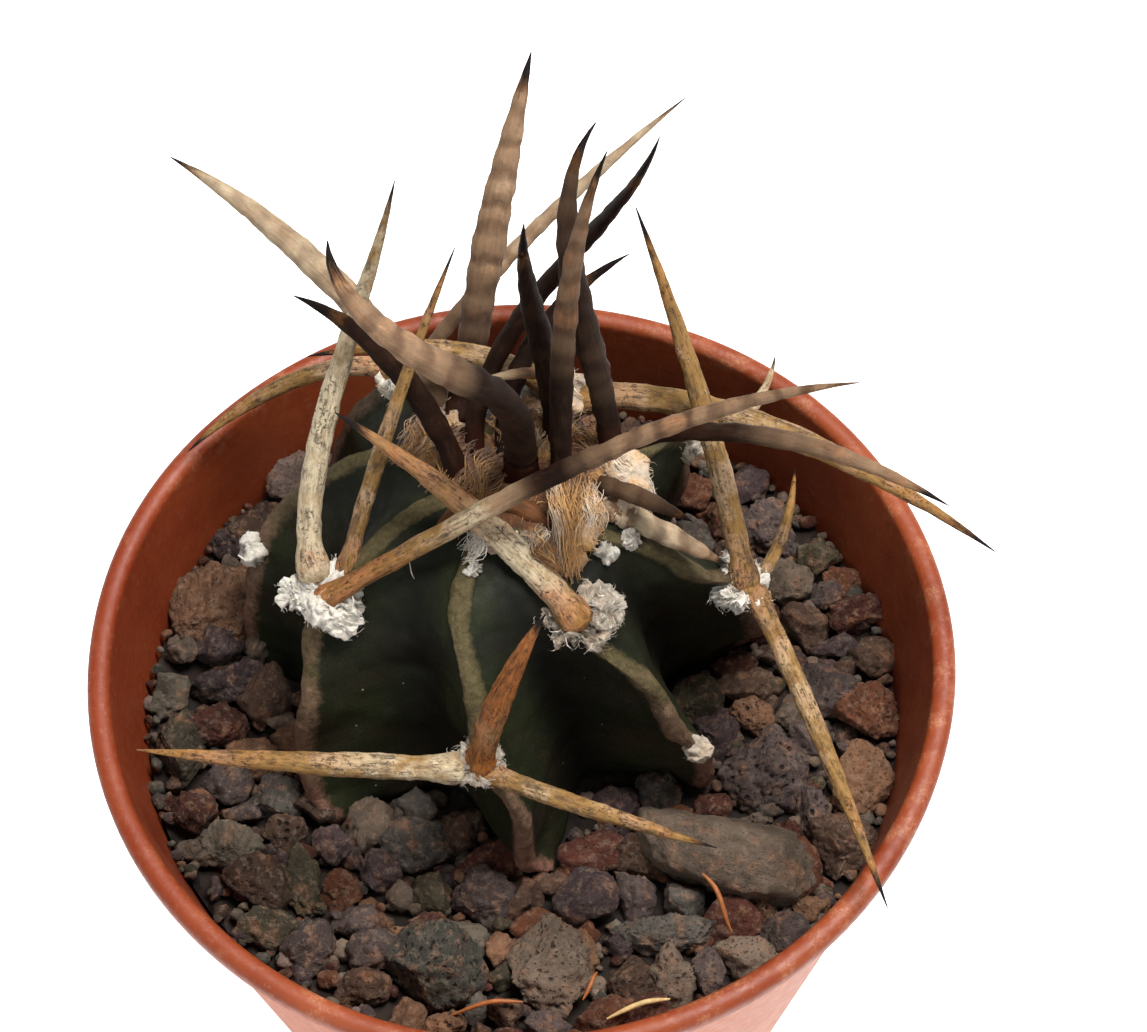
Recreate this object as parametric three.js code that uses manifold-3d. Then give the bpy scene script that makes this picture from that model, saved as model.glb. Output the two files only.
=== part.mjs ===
// A goat's horn cactus in a small round pot, in millimetres, with +Z up.
// The origin is the middle of the pot's foot, and -Y is the front.
import * as THREE from 'three';
import { mergeVertices } from 'three/addons/utils/BufferGeometryUtils.js';
import Module from 'manifold-3d';

const wasm = await Module();
wasm.setup();

// Pot
const potHeight = 48;
const rimRadius = 27.5;
const innerLipRadius = 26;
const lipDepth = 1.6; // from the rim's top to where the plain wall starts
const wallTopRadius = 26.6; // outside, just under the lip
const footRadius = 17;
const wallThickness = 0.9;
const floorThickness = 1.2;
const potSegments = 48;
const drainHoles = 8;
const drainHoleRadius = 1.8;
const drainCircleRadius = 12;

// Filling
const gap = 0.35; // between touching pieces
const soilTop = 36.8;
const bedTop = 39.2;
const bedSlope = 0.03; // the gravel lies a little higher on the -X side
const bedRise = 1.2; // and it climbs this much from flatRadius to the wall
const flatRadius = 16;
const wallRadius = 25;
const cornerWander = 0.13; // how uneven stones and tufts are, as a share of their size

// Plant
const bodyRadius = 17;
const widestHeight = 41.7;
const domeHeight = 16.8; // from the widest height to the top
const skirtDepth = 2.7; // from the widest height down to where the root starts
const domeFullness = 2.44; // 2 is an ellipse, more is squarer
const bodyFoot = [-1, 5.2]; // the axis at the widest height
const bodyTop = [-0.4, 5.9]; // the axis at the top
const ribTurns = [-136, -84, -39, 0, 45, 90, 135, 178.5]; // where each rib leaves the soil, in degrees
const ribTwist = -36; // how far a rib has turned when it reaches the top
const twistEase = 1.35;
const valleyDepthLow = 0.33; // share of the radius
const valleyDepthTop = 0.13;
const cordHeight = 0.45; // the corky cord along each rib's edge
const cordWave = 1.6; // how far the edge wanders, in degrees
const waveRate = 19;
const lowestAngle = -0.3; // of the dome's section, in radians
const highestAngle = 1.45;
const rootLength = 13; // below the soil's top
const rootRadius = 10.5;
const crownMiddle = [0.6, 6.8, 57.6];

// Spines
const spineSides = 6;
const spineRows = 8;
const spineFlatness = 0.8; // thickness over width
const rootedDepth = 0.7; // how far a spine starts inside its wool
const stepsPerRow = 4; // of the walk along a spine's middle line

const radians = (degrees) => degrees * Math.PI / 180;
const blend = (from, to, share) => from + (to - from) * share;
const draw = (n) => { // a repeatable number from 0 to 1
  const value = Math.sin(n * 12.9898) * 43758.5453;
  return value - Math.floor(value);
};

// Solids and joins

function solidOf(geometry) {
  const bare = geometry.clone();
  bare.deleteAttribute('normal');
  bare.deleteAttribute('uv');
  const merged = mergeVertices(bare, 1e-4);
  const places = merged.attributes.position.array;
  const faces = Uint32Array.from(merged.index.array);
  const corner = [0, 1, 2].map(() => new THREE.Vector3());
  let sixVolumes = 0;
  for (let i = 0; i < faces.length; i += 3) {
    corner.forEach((point, k) => point.fromArray(places, faces[i + k] * 3));
    sixVolumes += corner[0].dot(corner[1].cross(corner[2]));
  }
  if (sixVolumes < 0) {
    for (let i = 0; i < faces.length; i += 3) [faces[i], faces[i + 1]] = [faces[i + 1], faces[i]];
  }
  return new wasm.Manifold(new wasm.Mesh({
    numProp: 3, vertProperties: Float32Array.from(places), triVerts: faces,
  }));
}

const join = (solids) => solids.reduce((whole, solid) => whole.add(solid));

function largest(solid) {
  return solid.decompose().reduce((best, one) => (one.volume() > best.volume() ? one : best));
}

function geometryOf(solid) {
  const mesh = solid.getMesh();
  const geometry = new THREE.BufferGeometry();
  geometry.setAttribute('position', new THREE.BufferAttribute(mesh.vertProperties, 3));
  geometry.setIndex(new THREE.BufferAttribute(mesh.triVerts, 1));
  geometry.computeVertexNormals();
  return geometry;
}

// A closed skin of rows and columns: a cylinder whose points are moved to place(column, row),
// with each end closed at the middle of its ring.
function skin(columns, rows, place) {
  const geometry = new THREE.CylinderGeometry(1, 1, 1, columns, rows);
  const points = geometry.attributes.position;
  const ringMiddle = (row) => {
    const sum = new THREE.Vector3();
    for (let column = 0; column < columns; column++) sum.add(place(column, row));
    return sum.divideScalar(columns);
  };
  const ends = { 0: ringMiddle(0), [rows]: ringMiddle(rows) };
  for (let i = 0; i < points.count; i++) {
    const row = Math.round((0.5 - points.getY(i)) * rows);
    const angle = Math.atan2(points.getX(i), points.getZ(i));
    const column = (Math.round(angle / (2 * Math.PI) * columns) + columns) % columns;
    const onAxis = Math.hypot(points.getX(i), points.getZ(i)) < 0.5;
    const point = onAxis ? ends[row] : place(column, row);
    points.setXYZ(i, point.x, point.y, point.z);
  }
  return solidOf(geometry);
}

// A round shape about +Z from [radius, height] pairs that start and end on the axis.
function lathe(profile, segments) {
  const points = profile.map(([radius, height]) => new THREE.Vector2(radius, height));
  return new THREE.LatheGeometry(points, segments).rotateX(Math.PI / 2);
}

const turned = (profile, segments) => solidOf(lathe(profile, segments));

// A rough stone or tuft: an icosahedron with uneven corners, finer where it is wide.
function lump([x, y, z], [wide, deep, high], seed, fineFrom) {
  const geometry = new THREE.IcosahedronGeometry(1, wide > fineFrom ? 1 : 0);
  geometry.deleteAttribute('normal');
  geometry.deleteAttribute('uv');
  const merged = mergeVertices(geometry, 1e-4);
  const points = merged.attributes.position;
  for (let i = 0; i < points.count; i++) {
    const size = blend(1 - cornerWander, 1 + cornerWander, draw(seed * 7.3 + i * 1.7));
    points.setXYZ(i, points.getX(i) * size, points.getY(i) * size, points.getZ(i) * size);
  }
  return solidOf(merged.scale(wide / 2, deep / 2, high / 2).translate(x, y, z));
}

// Pot

const wallTop = potHeight - lipDepth;
const insideAt = (height) => blend(footRadius, wallTopRadius, height / wallTop) - wallThickness;

// The pot's inside, or the same made smaller, from a floor height up.
const cavityProfile = (floor, shrink) => [
  [0, floor],
  [insideAt(floor) - shrink, floor],
  [insideAt(wallTop) - shrink, wallTop],
  [innerLipRadius - shrink, potHeight - 0.8],
];

function makePot() {
  const outline = [
    [0, 0],
    [footRadius - 0.5, 0],
    [footRadius, 0.5],
    [wallTopRadius, wallTop - 0.2],
    [rimRadius - 0.2, wallTop + 0.3],
    [rimRadius, wallTop + 0.8],
    [rimRadius - 0.15, potHeight - 0.25],
    [(rimRadius + innerLipRadius) / 2, potHeight],
    [innerLipRadius + 0.15, potHeight - 0.2],
    ...cavityProfile(floorThickness, 0).reverse(),
  ];
  const holes = [];
  for (let i = 0; i < drainHoles; i++) {
    const turn = (i + 0.5) / drainHoles * 2 * Math.PI;
    const hole = new THREE.CylinderGeometry(drainHoleRadius, drainHoleRadius, 4 * floorThickness, 12);
    hole.rotateX(Math.PI / 2);
    hole.translate(drainCircleRadius * Math.cos(turn), drainCircleRadius * Math.sin(turn), 0);
    holes.push(solidOf(hole));
  }
  return turned(outline, potSegments).subtract(join(holes));
}

// Body: eight ribs with a corky cord on each edge, on a short tap root

const ribPhases = [0, 0.08, 0.12, 0.5, 1, 0.5, 0.12, 0.08]; // 0 on an edge and 1 in a valley
const domeRows = 12;
const rootRows = [
  { radius: 2.5, height: soilTop - rootLength },
  { radius: 8, height: soilTop - rootLength * 0.55 },
  { radius: rootRadius, height: soilTop - 0.2 },
];
const phasesPerRib = ribPhases.length;
const bodyColumns = ribTurns.length * phasesPerRib;

// One ring of the dome: its edge radius and height where share goes from 0 at the soil to 1 at the crown.
function domeRing(share) {
  const angle = blend(lowestAngle, highestAngle, share);
  const radius = bodyRadius * Math.cos(angle) ** (2 / domeFullness);
  const rise = angle > 0 ? domeHeight * Math.sin(angle) ** (2 / domeFullness)
    : skirtDepth * Math.sin(angle) / Math.sin(-lowestAngle);
  return { radius, height: widestHeight + rise, upward: Math.max(0, Math.sin(angle)) };
}

function axisAt(height) {
  const share = (height - widestHeight) / domeHeight;
  return [blend(bodyFoot[0], bodyTop[0], share), blend(bodyFoot[1], bodyTop[1], share)];
}

function domePoint(column, share, grow) {
  const rib = Math.floor(column / phasesPerRib);
  const step = column % phasesPerRib;
  const nextTurn = rib + 1 < ribTurns.length ? ribTurns[rib + 1] : ribTurns[0] + 360;
  const halfway = (nextTurn - ribTurns[rib]) / 2;
  const phase = ribPhases[step];
  const wave = cordWave * Math.sin(share * waveRate + rib * 2.1) * (1 - phase);
  const offset = (step <= phasesPerRib / 2 ? phase : 2 - phase) * halfway;
  const turn = radians(ribTurns[rib] + offset + wave + ribTwist * share ** twistEase);
  const ring = domeRing(share);
  const depth = blend(valleyDepthLow, valleyDepthTop, THREE.MathUtils.smoothstep(share, 0.4, 1));
  const cordDrop = phase === 0 ? 0 : phase < 0.1 ? 0.25 * cordHeight : cordHeight;
  const flank = Math.sin(Math.max(0, phase - 0.1) / 0.9 * Math.PI / 2) ** 0.9;
  const radius = Math.max(0.6, ring.radius * (1 - depth * flank) - cordDrop + grow);
  const [x, y] = axisAt(ring.height);
  return new THREE.Vector3(
    x + radius * Math.cos(turn), y + radius * Math.sin(turn), ring.height + grow * ring.upward,
  );
}

function makeBody(grow) {
  const rows = rootRows.length + domeRows;
  return skin(bodyColumns, rows, (column, row) => {
    if (row >= rootRows.length) return domePoint(column, (row - rootRows.length) / domeRows, grow);
    const { radius, height } = rootRows[row];
    const turn = Math.atan2(
      domePoint(column, 0, 0).y - bodyFoot[1], domePoint(column, 0, 0).x - bodyFoot[0],
    );
    return new THREE.Vector3(
      bodyFoot[0] + (radius + grow) * Math.cos(turn), bodyFoot[1] + (radius + grow) * Math.sin(turn), height,
    );
  });
}

// The point of a rib's edge at a share of the way from the soil to the crown.
const edgePoint = (rib, share) => domePoint(rib * phasesPerRib, share, 0);

// Spines: each leaves its foot in the direction turn (around +Z from +X) and rise (above level), in degrees,
// and bends by sway and lift on the way to its tip. An ease under 1 bends it early and over 1 bends it late.

const spine = (foot, turn, rise, length, sway, lift, ease, width) => (
  { foot, turn, rise, length, sway, lift, ease, width }
);

const frontLeftSpines = [
  spine([-0.9, 1.1, 0.7], 112, 6, 27.5, -82, 69, 0.5, 1.6),
  spine([1.1, 1.2, 0.7], 63, 48, 22, -15, 4, 0.9, 1.1),
  spine([-0.5, -0.4, -0.2], 7, 35, 37.5, -16, -20, 2.5, 1.3),
];
const frontSpines = [
  spine([0.1, -0.1, 0], 28, 78, 14.5, -7, -16, 1, 1.9),
  spine([-1.4, -0.4, -0.2], 176, 1, 19.5, -5, 2, 0.8, 1.7),
  spine([0.4, -0.7, -0.4], -27, 0, 15, 5, 0, 0.9, 1.3),
];
const frontRightSpines = [
  spine([0, -0.2, -0.1], 124, 18, 19.5, 32, 13, 0.7, 1.9),
];
const rightSpines = [
  spine([0.3, 0, 0], 100, 49, 25, 15, -3, 0.6, 1.8),
  spine([1, -0.9, -0.5], -73, 1, 23, -5, -1, 1, 1.5),
  spine([0.7, -0.5, -0.2], 55, -21, 12.5, 28, 8, 0.8, 0.9),
];
const backRightSpines = [
  spine([0.8, -0.1, 0], 26, -33, 11, 52, 25, 0.8, 1),
];
const backLeftSpines = [
  spine([-0.6, 0.3, 0.2], 132, -10, 16, 82, -14, 0.5, 1.4),
  spine([0.7, 0.5, 0.3], 58, 12, 25, -29, 8, 0.5, 1.1),
];
const crownSpines = [
  spine([2.5, 6.7, -0.4], 166, 70, 17, 23, -70, 0.5, 1.6),
  spine([3.6, 6.1, -0.8], 15, 38, 29, -50, -57, 0.3, 1.9),
  spine([2.9, 6.8, -0.3], -125, 76, 12, -27, -61, 1, 0.9),
  spine([-4.6, 6.2, 0], 133, 33, 23, 15, -22, 1.4, 1.9),
  spine([-3.3, 4.8, 0], 80, 24, 23.5, -12, 13, 0.7, 2.5),
  spine([0.2, -0.6, 0], -92, 95, 29, -180, -102, 1.4, 2.3),
  spine([-3.2, -1.2, 0], 111, 51, 18, 68, -13, 1.2, 1.6),
  spine([2.1, 0.6, 0], 68, 45, 20, 95, 51, 0.8, 1.6),
  spine([2.6, -1.3, 0], 85, 74, 25, -42, -19, 1.8, 1.5),
  spine([5.9, 1.8, 0], 142, 85, 24.5, -95, -66, 1.8, 1.8),
  spine([-2, -0.4, 0], 130, 14, 32, -180, 62, 0.6, 1.3),
  spine([-0.4, -0.8, 0], 114, 33, 18, -95, -18, 0.7, 1.3),
  spine([1.7, -3.7, 0], 136, 32, 8.5, 95, -62, 1.1, 1.5),
  spine([5.8, 1.8, 0], 9, 40, 23, -49, -40, 0.5, 1.3),
  spine([3.9, -0.1, 0], -38, 26, 9.5, -10, -6, 0.9, 1.3),
  spine([5.6, -2.3, 0], -32, -6, 8, 1, -1, 1, 1.6),
];

// Points and turns along a spine's middle line, from inside the wool to the tip.
function spineLine(start, { foot, turn, rise, length, sway, lift, ease }) {
  const heading = (share) => {
    const level = radians(turn + sway * share ** ease);
    const up = radians(rise + lift * share ** ease);
    return new THREE.Vector3(
      Math.cos(up) * Math.cos(level), Math.cos(up) * Math.sin(level), Math.sin(up),
    );
  };
  const steps = stepsPerRow * spineRows;
  const point = new THREE.Vector3(...start).add(new THREE.Vector3(...foot));
  const line = [{ point: point.clone().addScaledVector(heading(0), -rootedDepth), ahead: heading(0) }];
  for (let i = 1; i <= steps; i++) {
    point.addScaledVector(heading((i - 0.5) / steps), length / steps);
    if (i % stepsPerRow === 0) line.push({ point: point.clone(), ahead: heading(i / steps) });
  }
  line.forEach((knot, row) => {
    const level = radians(turn + sway * (row / spineRows) ** ease);
    knot.side = new THREE.Vector3(-Math.sin(level), Math.cos(level), 0);
    knot.over = new THREE.Vector3().crossVectors(knot.ahead, knot.side);
  });
  return line;
}

function makeSpine(start, one, grow) {
  const line = spineLine(start, one);
  return skin(spineSides, spineRows, (column, row) => {
    const share = row / spineRows;
    const halfWidth = one.width / 2 * (1 - 0.97 * share ** 2.2) + grow;
    const angle = column / spineSides * 2 * Math.PI;
    const knot = line[row];
    return knot.point.clone()
      .addScaledVector(knot.side, halfWidth * Math.cos(angle))
      .addScaledVector(knot.over, halfWidth * spineFlatness * Math.sin(angle));
  });
}

// Wool: tufts of [x, y, z off the areole], [wide, deep, high]
const tuft = (offset, size) => ({ offset, size });

function makeCluster({ start, tufts, spines }, grow) {
  const wool = tufts.map(({ offset, size }, i) => lump(
    offset.map((value, k) => value + start[k]), size.map((value) => value + 2 * grow), i + start[0], 4,
  ));
  return join([...wool, ...spines.map((one) => makeSpine(start, one, grow))]);
}

const onEdge = (rib, share) => edgePoint(rib, share).toArray();
const clusters = {
  crown: {
    start: crownMiddle,
    spines: crownSpines,
    tufts: [
      tuft([0, -0.4, 0.2], [12.6, 10, 3]),
      tuft([2.6, -3.8, -0.4], [3.6, 4.6, 3]),
      tuft([5.4, 1, 0.2], [4.6, 5, 3.6]),
      tuft([-5, -0.6, -0.2], [5, 5, 2.8]),
      tuft([-4.2, 5, -0.2], [5, 5.2, 2.6]),
      tuft([1.8, 3.6, -0.1], [5, 5, 2.6]),
      tuft([3, 6.4, -0.8], [4.4, 4, 3]),
    ],
  },
  spines_front_left: {
    start: onEdge(0, 0.67),
    spines: frontLeftSpines,
    tufts: [tuft([0, 0.2, 0], [5, 4.6, 3]), tuft([-1.8, 0.6, -0.2], [3, 3, 2]), tuft([0.4, -1.4, -0.8], [3.4, 2.6, 2])],
  },
  spines_front: {
    start: onEdge(1, 0.48),
    spines: frontSpines,
    tufts: [tuft([0, 0, 0], [4.2, 3.4, 3.4])],
  },
  spines_front_right: {
    start: onEdge(2, 0.78),
    spines: frontRightSpines,
    tufts: [tuft([0.2, 0, 0.1], [4.8, 4.4, 3]), tuft([1, -0.6, 0], [3.2, 3.4, 2.4])],
  },
  spines_right: {
    start: onEdge(3, 0.47),
    spines: rightSpines,
    tufts: [tuft([0, -0.3, 0], [3.8, 3.6, 3.2])],
  },
  spines_back_right: {
    start: onEdge(4, 0.55),
    spines: backRightSpines,
    tufts: [tuft([0, 0, 0], [3.2, 3.2, 2.8])],
  },
  spines_back_left: {
    start: onEdge(6, 0.61),
    spines: backLeftSpines,
    tufts: [tuft([0, 0, 0], [3.6, 3.6, 2.8])],
  },
  wool_left: { start: onEdge(7, 0.37), spines: [], tufts: [tuft([0, 0, 0.3], [2, 2.4, 3])] },
  wool_low_right: { start: onEdge(2, 0.29), spines: [], tufts: [tuft([0, 0, 0], [2.2, 2.4, 2.6])] },
};

// Gravel: the larger stones by place and size, then smaller ones in rings wherever there is room.
// Each row is x, y, width, depth.
const largeStones = [
  [-21.4, 9.6, 6.3, 6.6], [-20, 5.8, 3.9, 3.3], [-22.8, 2.5, 2.8, 3.2], [-20.2, 0.3, 4.7, 3.2],
  [-22, -1.5, 3.7, 5.4], [-19.5, -4.1, 3.2, 3.5], [-16.5, -5.2, 3.8, 3.5], [-21, -6.6, 3.2, 3.2],
  [-19.6, -9.1, 4.7, 3.7], [-17.6, -11.9, 4.2, 3.8], [-16.8, -14.7, 3.8, 2.8], [-14.8, -11.2, 2.5, 4.4],
  [-14.3, -15.9, 3.2, 3.8], [-12.2, -11.8, 2.8, 2.7], [-10, -10.8, 2.8, 2.8], [-10, -16.6, 3.7, 3.2],
  [-11.2, -19, 3.8, 2.8], [-7.4, -9.1, 4.7, 3.5], [-6.9, -12.5, 2.8, 3.3], [-6.8, -18.5, 6.3, 6],
  [-3.7, -12.9, 4.6, 4.2], [0.3, -18.5, 5.3, 7.1], [3, -13.2, 3.9, 4.2], [3.7, -10.1, 3.8, 2.8],
  [6.1, -13.4, 2.8, 3.9], [8.9, -14.2, 3.2, 2.9], [8.2, -16.5, 7.5, 2.7], [5.4, -19.3, 2.7, 3.9],
  [8, -19.6, 3.3, 3.9], [12.6, -18.4, 4.1, 3], [12.2, -11.3, 11.4, 6.6], [15.3, -4.8, 5.3, 6.3],
  [17.9, -9, 2.8, 4.9], [12.3, -2.1, 2.7, 3.5], [14.5, 1.2, 4.1, 2.7], [19.7, 0.2, 3.9, 3.9],
  [22, -1.6, 4.4, 4.1], [21.2, -6.6, 4.1, 5.8], [19.4, -11.5, 5.1, 4.2], [21.6, 6, 4.4, 3.2],
  [19.8, 10.5, 3.4, 2.8], [18.6, 4.4, 3.2, 3.2], [17.2, 12.7, 3.4, 4.4], [15.6, 16.4, 3.8, 3.2],
  [14.9, -16.4, 3.5, 2.8], [-13.6, 18.6, 5.8, 4.2], [-17.6, 15, 3.8, 3.3], [21.6, 2.6, 3.8, 2.8],
];
const smallStone = 3.5;
const fillRings = [14.5, 17.6, 20.7, 23];

function stonePlaces() {
  const stones = largeStones.map(([x, y, wide, deep]) => ({ x, y, wide, deep }));
  fillRings.forEach((ring, k) => {
    const count = Math.floor(2 * Math.PI * ring / smallStone);
    for (let i = 0; i < count; i++) {
      const turn = (i + 0.4 * draw(i + 31 * k)) / count * 2 * Math.PI;
      const x = ring * Math.cos(turn);
      const y = ring * Math.sin(turn);
      const wide = smallStone * blend(0.8, 1.15, draw(i * 3 + 17 * k));
      const clear = stones.every((one) => (
        Math.hypot(one.x - x, one.y - y) > 0.42 * (Math.min(one.wide, one.deep) + wide)
      ));
      if (clear && Math.hypot(x - bodyFoot[0], y - bodyFoot[1]) > bodyRadius - 3.5) {
        stones.push({ x, y, wide, deep: wide * 0.85 });
      }
    }
  });
  return stones;
}

const bedHeight = (x, y) => (
  bedTop - bedSlope * x + bedRise * Math.max(0, (Math.hypot(x, y) - flatRadius) / (wallRadius - flatRadius))
);

function makeGravel() {
  const layer = turned([...cavityProfile(soilTop + gap, gap), [0, potHeight]], potSegments);
  const slab = lathe([
    [0, 0], [rimRadius, 0], [rimRadius, bedHeight(0, rimRadius)], [flatRadius, bedTop], [0, bedTop],
  ], 12);
  const sloped = new THREE.Matrix4().makeShear(0, -bedSlope, 0, 0, 0, 0);
  const bed = solidOf(slab.applyMatrix4(sloped));
  const stones = stonePlaces().map(({ x, y, wide, deep }, i) => {
    const high = 0.95 * Math.min(wide, deep);
    const middle = bedHeight(x, y) + 0.25 * high;
    return lump([x, y, middle], [1.08 * wide, 1.08 * deep, high], i + 1, 8);
  });
  return join([bed, ...stones]).intersect(layer);
}

function makeSoil() {
  const inside = turned([...cavityProfile(floorThickness + gap, gap), [0, potHeight]], potSegments);
  const below = turned([[0, 0], [rimRadius, 0], [rimRadius, soilTop], [0, soilTop]], 8);
  const wideHole = rootRows.map(({ radius, height }) => [radius + 2 * gap, height]);
  const hole = lathe(
    [[0, rootRows[0].height - gap], ...wideHole, [rootRadius + 2 * gap, soilTop + 1], [0, soilTop + 1]], 24,
  );
  return inside.intersect(below).subtract(solidOf(hole.translate(...bodyFoot, 0)));
}

// Assembly

const part = new THREE.Group();

function addPiece(name, solid, color, roughness) {
  const material = new THREE.MeshStandardMaterial({ color, roughness, metalness: 0 });
  const mesh = new THREE.Mesh(geometryOf(solid), material);
  mesh.name = name;
  part.add(mesh);
}

const keepClear = join(Object.values(clusters).map((cluster) => makeCluster(cluster, gap)));
addPiece('pot', makePot(), 0xc4694c, 0.5);
addPiece('soil', makeSoil(), 0x3a2c22, 0.95);
addPiece('gravel', largest(makeGravel().subtract(makeBody(gap)).subtract(keepClear)), 0x6a5a52, 0.9);
addPiece('cactus_body', largest(makeBody(0).subtract(keepClear)), 0x2b3024, 0.7);
for (const [name, cluster] of Object.entries(clusters)) {
  const color = name === 'crown' ? 0x5a4036 : name.startsWith('wool') ? 0xd9d2c4 : 0xb89a6c;
  addPiece(name, makeCluster(cluster, 0), color, 0.75);
}

export default part;
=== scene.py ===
import math
import random
from types import SimpleNamespace

import bmesh
import bpy
import numpy as np
from mathutils import Matrix, Vector


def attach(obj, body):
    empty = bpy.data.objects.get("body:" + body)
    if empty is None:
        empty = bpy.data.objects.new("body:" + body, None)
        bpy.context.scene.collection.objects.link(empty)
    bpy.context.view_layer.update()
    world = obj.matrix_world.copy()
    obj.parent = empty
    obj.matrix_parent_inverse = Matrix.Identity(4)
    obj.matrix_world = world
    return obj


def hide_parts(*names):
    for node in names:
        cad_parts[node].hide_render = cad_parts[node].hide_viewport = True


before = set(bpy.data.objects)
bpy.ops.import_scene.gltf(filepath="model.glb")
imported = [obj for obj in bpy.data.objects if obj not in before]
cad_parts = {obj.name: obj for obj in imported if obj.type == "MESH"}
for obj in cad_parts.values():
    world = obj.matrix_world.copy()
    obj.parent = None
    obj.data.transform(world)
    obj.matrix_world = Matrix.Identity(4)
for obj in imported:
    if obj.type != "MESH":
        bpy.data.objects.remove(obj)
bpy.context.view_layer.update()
print("frame loaded")

mm = 0.001  # everything is modelled in millimetres, and made metres when a piece is finished
bench = SimpleNamespace()  # the node tree and the material that are being built


def blend(start, end, share):
    return start + (end - start) * share


def smooth(value, low, high):
    share = min(1.0, max(0.0, (value - low) / (high - low)))
    return share * share * (3 - 2 * share)


def linear(*screen):  # a screen colour of 0 to 255 as the linear colour that Blender uses
    return tuple(((c / 255 + 0.055) / 1.055) ** 2.4 if c > 10 else c / 255 / 12.92 for c in screen)


def aroundAxis(radius, turn):
    return radius * math.cos(turn), radius * math.sin(turn)


# Node helpers, for geometry and for materials alike

class Wire:  # a node's output, so that node math is written as plain arithmetic
    def __init__(self, socket):
        self.socket = socket

    def __abs__(self):
        return calc("ABSOLUTE", self)

    def part(self, axis):
        return wire("ShaderNodeSeparateXYZ", {"Vector": self}, axis)


signs = {"add": "ADD", "sub": "SUBTRACT", "mul": "MULTIPLY", "truediv": "DIVIDE", "pow": "POWER"}
for sign, work in signs.items():
    setattr(Wire, f"__{sign}__", lambda one, other, work=work: calc(work, one, other))
    setattr(Wire, f"__r{sign}__", lambda one, other, work=work: calc(work, other, one))


def plug(socket, value):
    if isinstance(value, Wire):
        bench.tree.links.new(value.socket, socket)
    elif isinstance(value, tuple) and len(value) == 3 and socket.type == "RGBA":
        socket.default_value = (*value, 1)
    elif value is not None:
        socket.default_value = value


def addNode(kind, inputs=None, **settings):
    node = bench.tree.nodes.new(kind)
    for name, value in settings.items():
        setattr(node, name, value)
    for key, value in (inputs or {}).items():
        plug(node.inputs[key], value)
    return node


def wire(kind, inputs=None, output=0, **settings):
    return Wire(addNode(kind, inputs, **settings).outputs[output])


def isVector(value):
    return isinstance(value, tuple) or isinstance(value, Wire) and value.socket.type in ("VECTOR", "RGBA")


def calc(operation, *values):
    vector = any(isVector(value) for value in values)
    if vector and operation == "MULTIPLY" and not isVector(values[1]):
        return wire("ShaderNodeVectorMath", {0: values[0], "Scale": values[1]}, operation="SCALE")
    kind = "ShaderNodeVectorMath" if vector else "ShaderNodeMath"
    output = 1 if operation in ("DOT_PRODUCT", "LENGTH") else 0
    return wire(kind, dict(enumerate(values)), output, operation=operation)


def vectorOf(x, y, z):
    return wire("ShaderNodeCombineXYZ", {"X": x, "Y": y, "Z": z})


def fit(value, low, high, toLow=0.0, toHigh=1.0, kind="LINEAR"):
    span = (value, low, high, toLow, toHigh)
    return wire("ShaderNodeMapRange", dict(enumerate(span)), interpolation_type=kind)


def noise(where, scale, detail=2.0, roughness=0.5, distortion=0.0, output=0):
    inputs = {"Vector": where, "Scale": scale, "Detail": detail, "Roughness": roughness}
    return wire("ShaderNodeTexNoise", {**inputs, "Distortion": distortion}, output)


def patch(where, scale, detail, roughness, *span):  # noise between two of its levels, stretched
    return fit(noise(where, scale, detail, roughness), *span)


def wander(value, reach):  # noise as a swing of as much to either side
    return fit(value, 0.3, 0.7, -reach, reach)


def cells(where, scale):
    return wire("ShaderNodeTexVoronoi", {"Vector": where, "Scale": scale})


# Geometry helpers

def labelOf(key):  # columnsPerRib is Columns Per Rib among a tree's inputs
    return "".join(f" {letter}" if letter.isupper() else letter for letter in key).title()


def newTree(name, sizes):
    bench.tree = bpy.data.node_groups.new(name, "GeometryNodeTree")
    sockets = bench.tree.interface
    sockets.new_socket("Geometry", in_out="INPUT", socket_type="NodeSocketGeometry")
    for key, value in sizes.items():
        kind = "NodeSocketInt" if isinstance(value, int) else "NodeSocketFloat"
        sockets.new_socket(labelOf(key), in_out="INPUT", socket_type=kind).default_value = value
    sockets.new_socket("Geometry", in_out="OUTPUT", socket_type="NodeSocketGeometry")
    keys = ("geometry", *sizes)
    return SimpleNamespace(**{key: Wire(out) for key, out in zip(keys, addNode("NodeGroupInput").outputs)})


def endTree(geometry, material):
    shaded = wire("GeometryNodeSetShadeSmooth", {"Geometry": realized(geometry)})
    done = wire("GeometryNodeSetMaterial", {"Geometry": shaded, "Material": material})
    addNode("NodeGroupOutput", {0: done})
    return bench.tree


def position():
    return wire("GeometryNodeInputPosition")


def read(name, kind="FLOAT"):
    return wire("GeometryNodeInputNamedAttribute", {"Name": name}, data_type=kind)


def readVector(name):
    return read(name, "FLOAT_VECTOR")


def store(geometry, domain="POINT", **facts):
    for name, value in facts.items():
        kind = "FLOAT_VECTOR" if isVector(value) else "FLOAT"
        inputs = {"Geometry": geometry, "Name": name, "Value": value}
        geometry = wire("GeometryNodeStoreNamedAttribute", inputs, data_type=kind, domain=domain)
    return geometry


def setPlace(geometry, place):
    return wire("GeometryNodeSetPosition", {"Geometry": geometry, "Position": place})


def shifted(geometry, offset):
    return wire("GeometryNodeSetPosition", {"Geometry": geometry, "Offset": offset})


def pushOut(geometry, push):  # along the surface's normal
    return shifted(geometry, wire("GeometryNodeInputNormal") * push)


def spread(points, shape, **others):  # a copy of the shape on each point
    return wire("GeometryNodeInstanceOnPoints", {"Points": points, "Instance": shape, **others})


def realized(geometry):
    return wire("GeometryNodeRealizeInstances", {"Geometry": geometry})


def ringOf(sides, radius):
    return wire("GeometryNodeCurvePrimitiveCircle", {"Resolution": sides, "Radius": radius})


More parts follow.
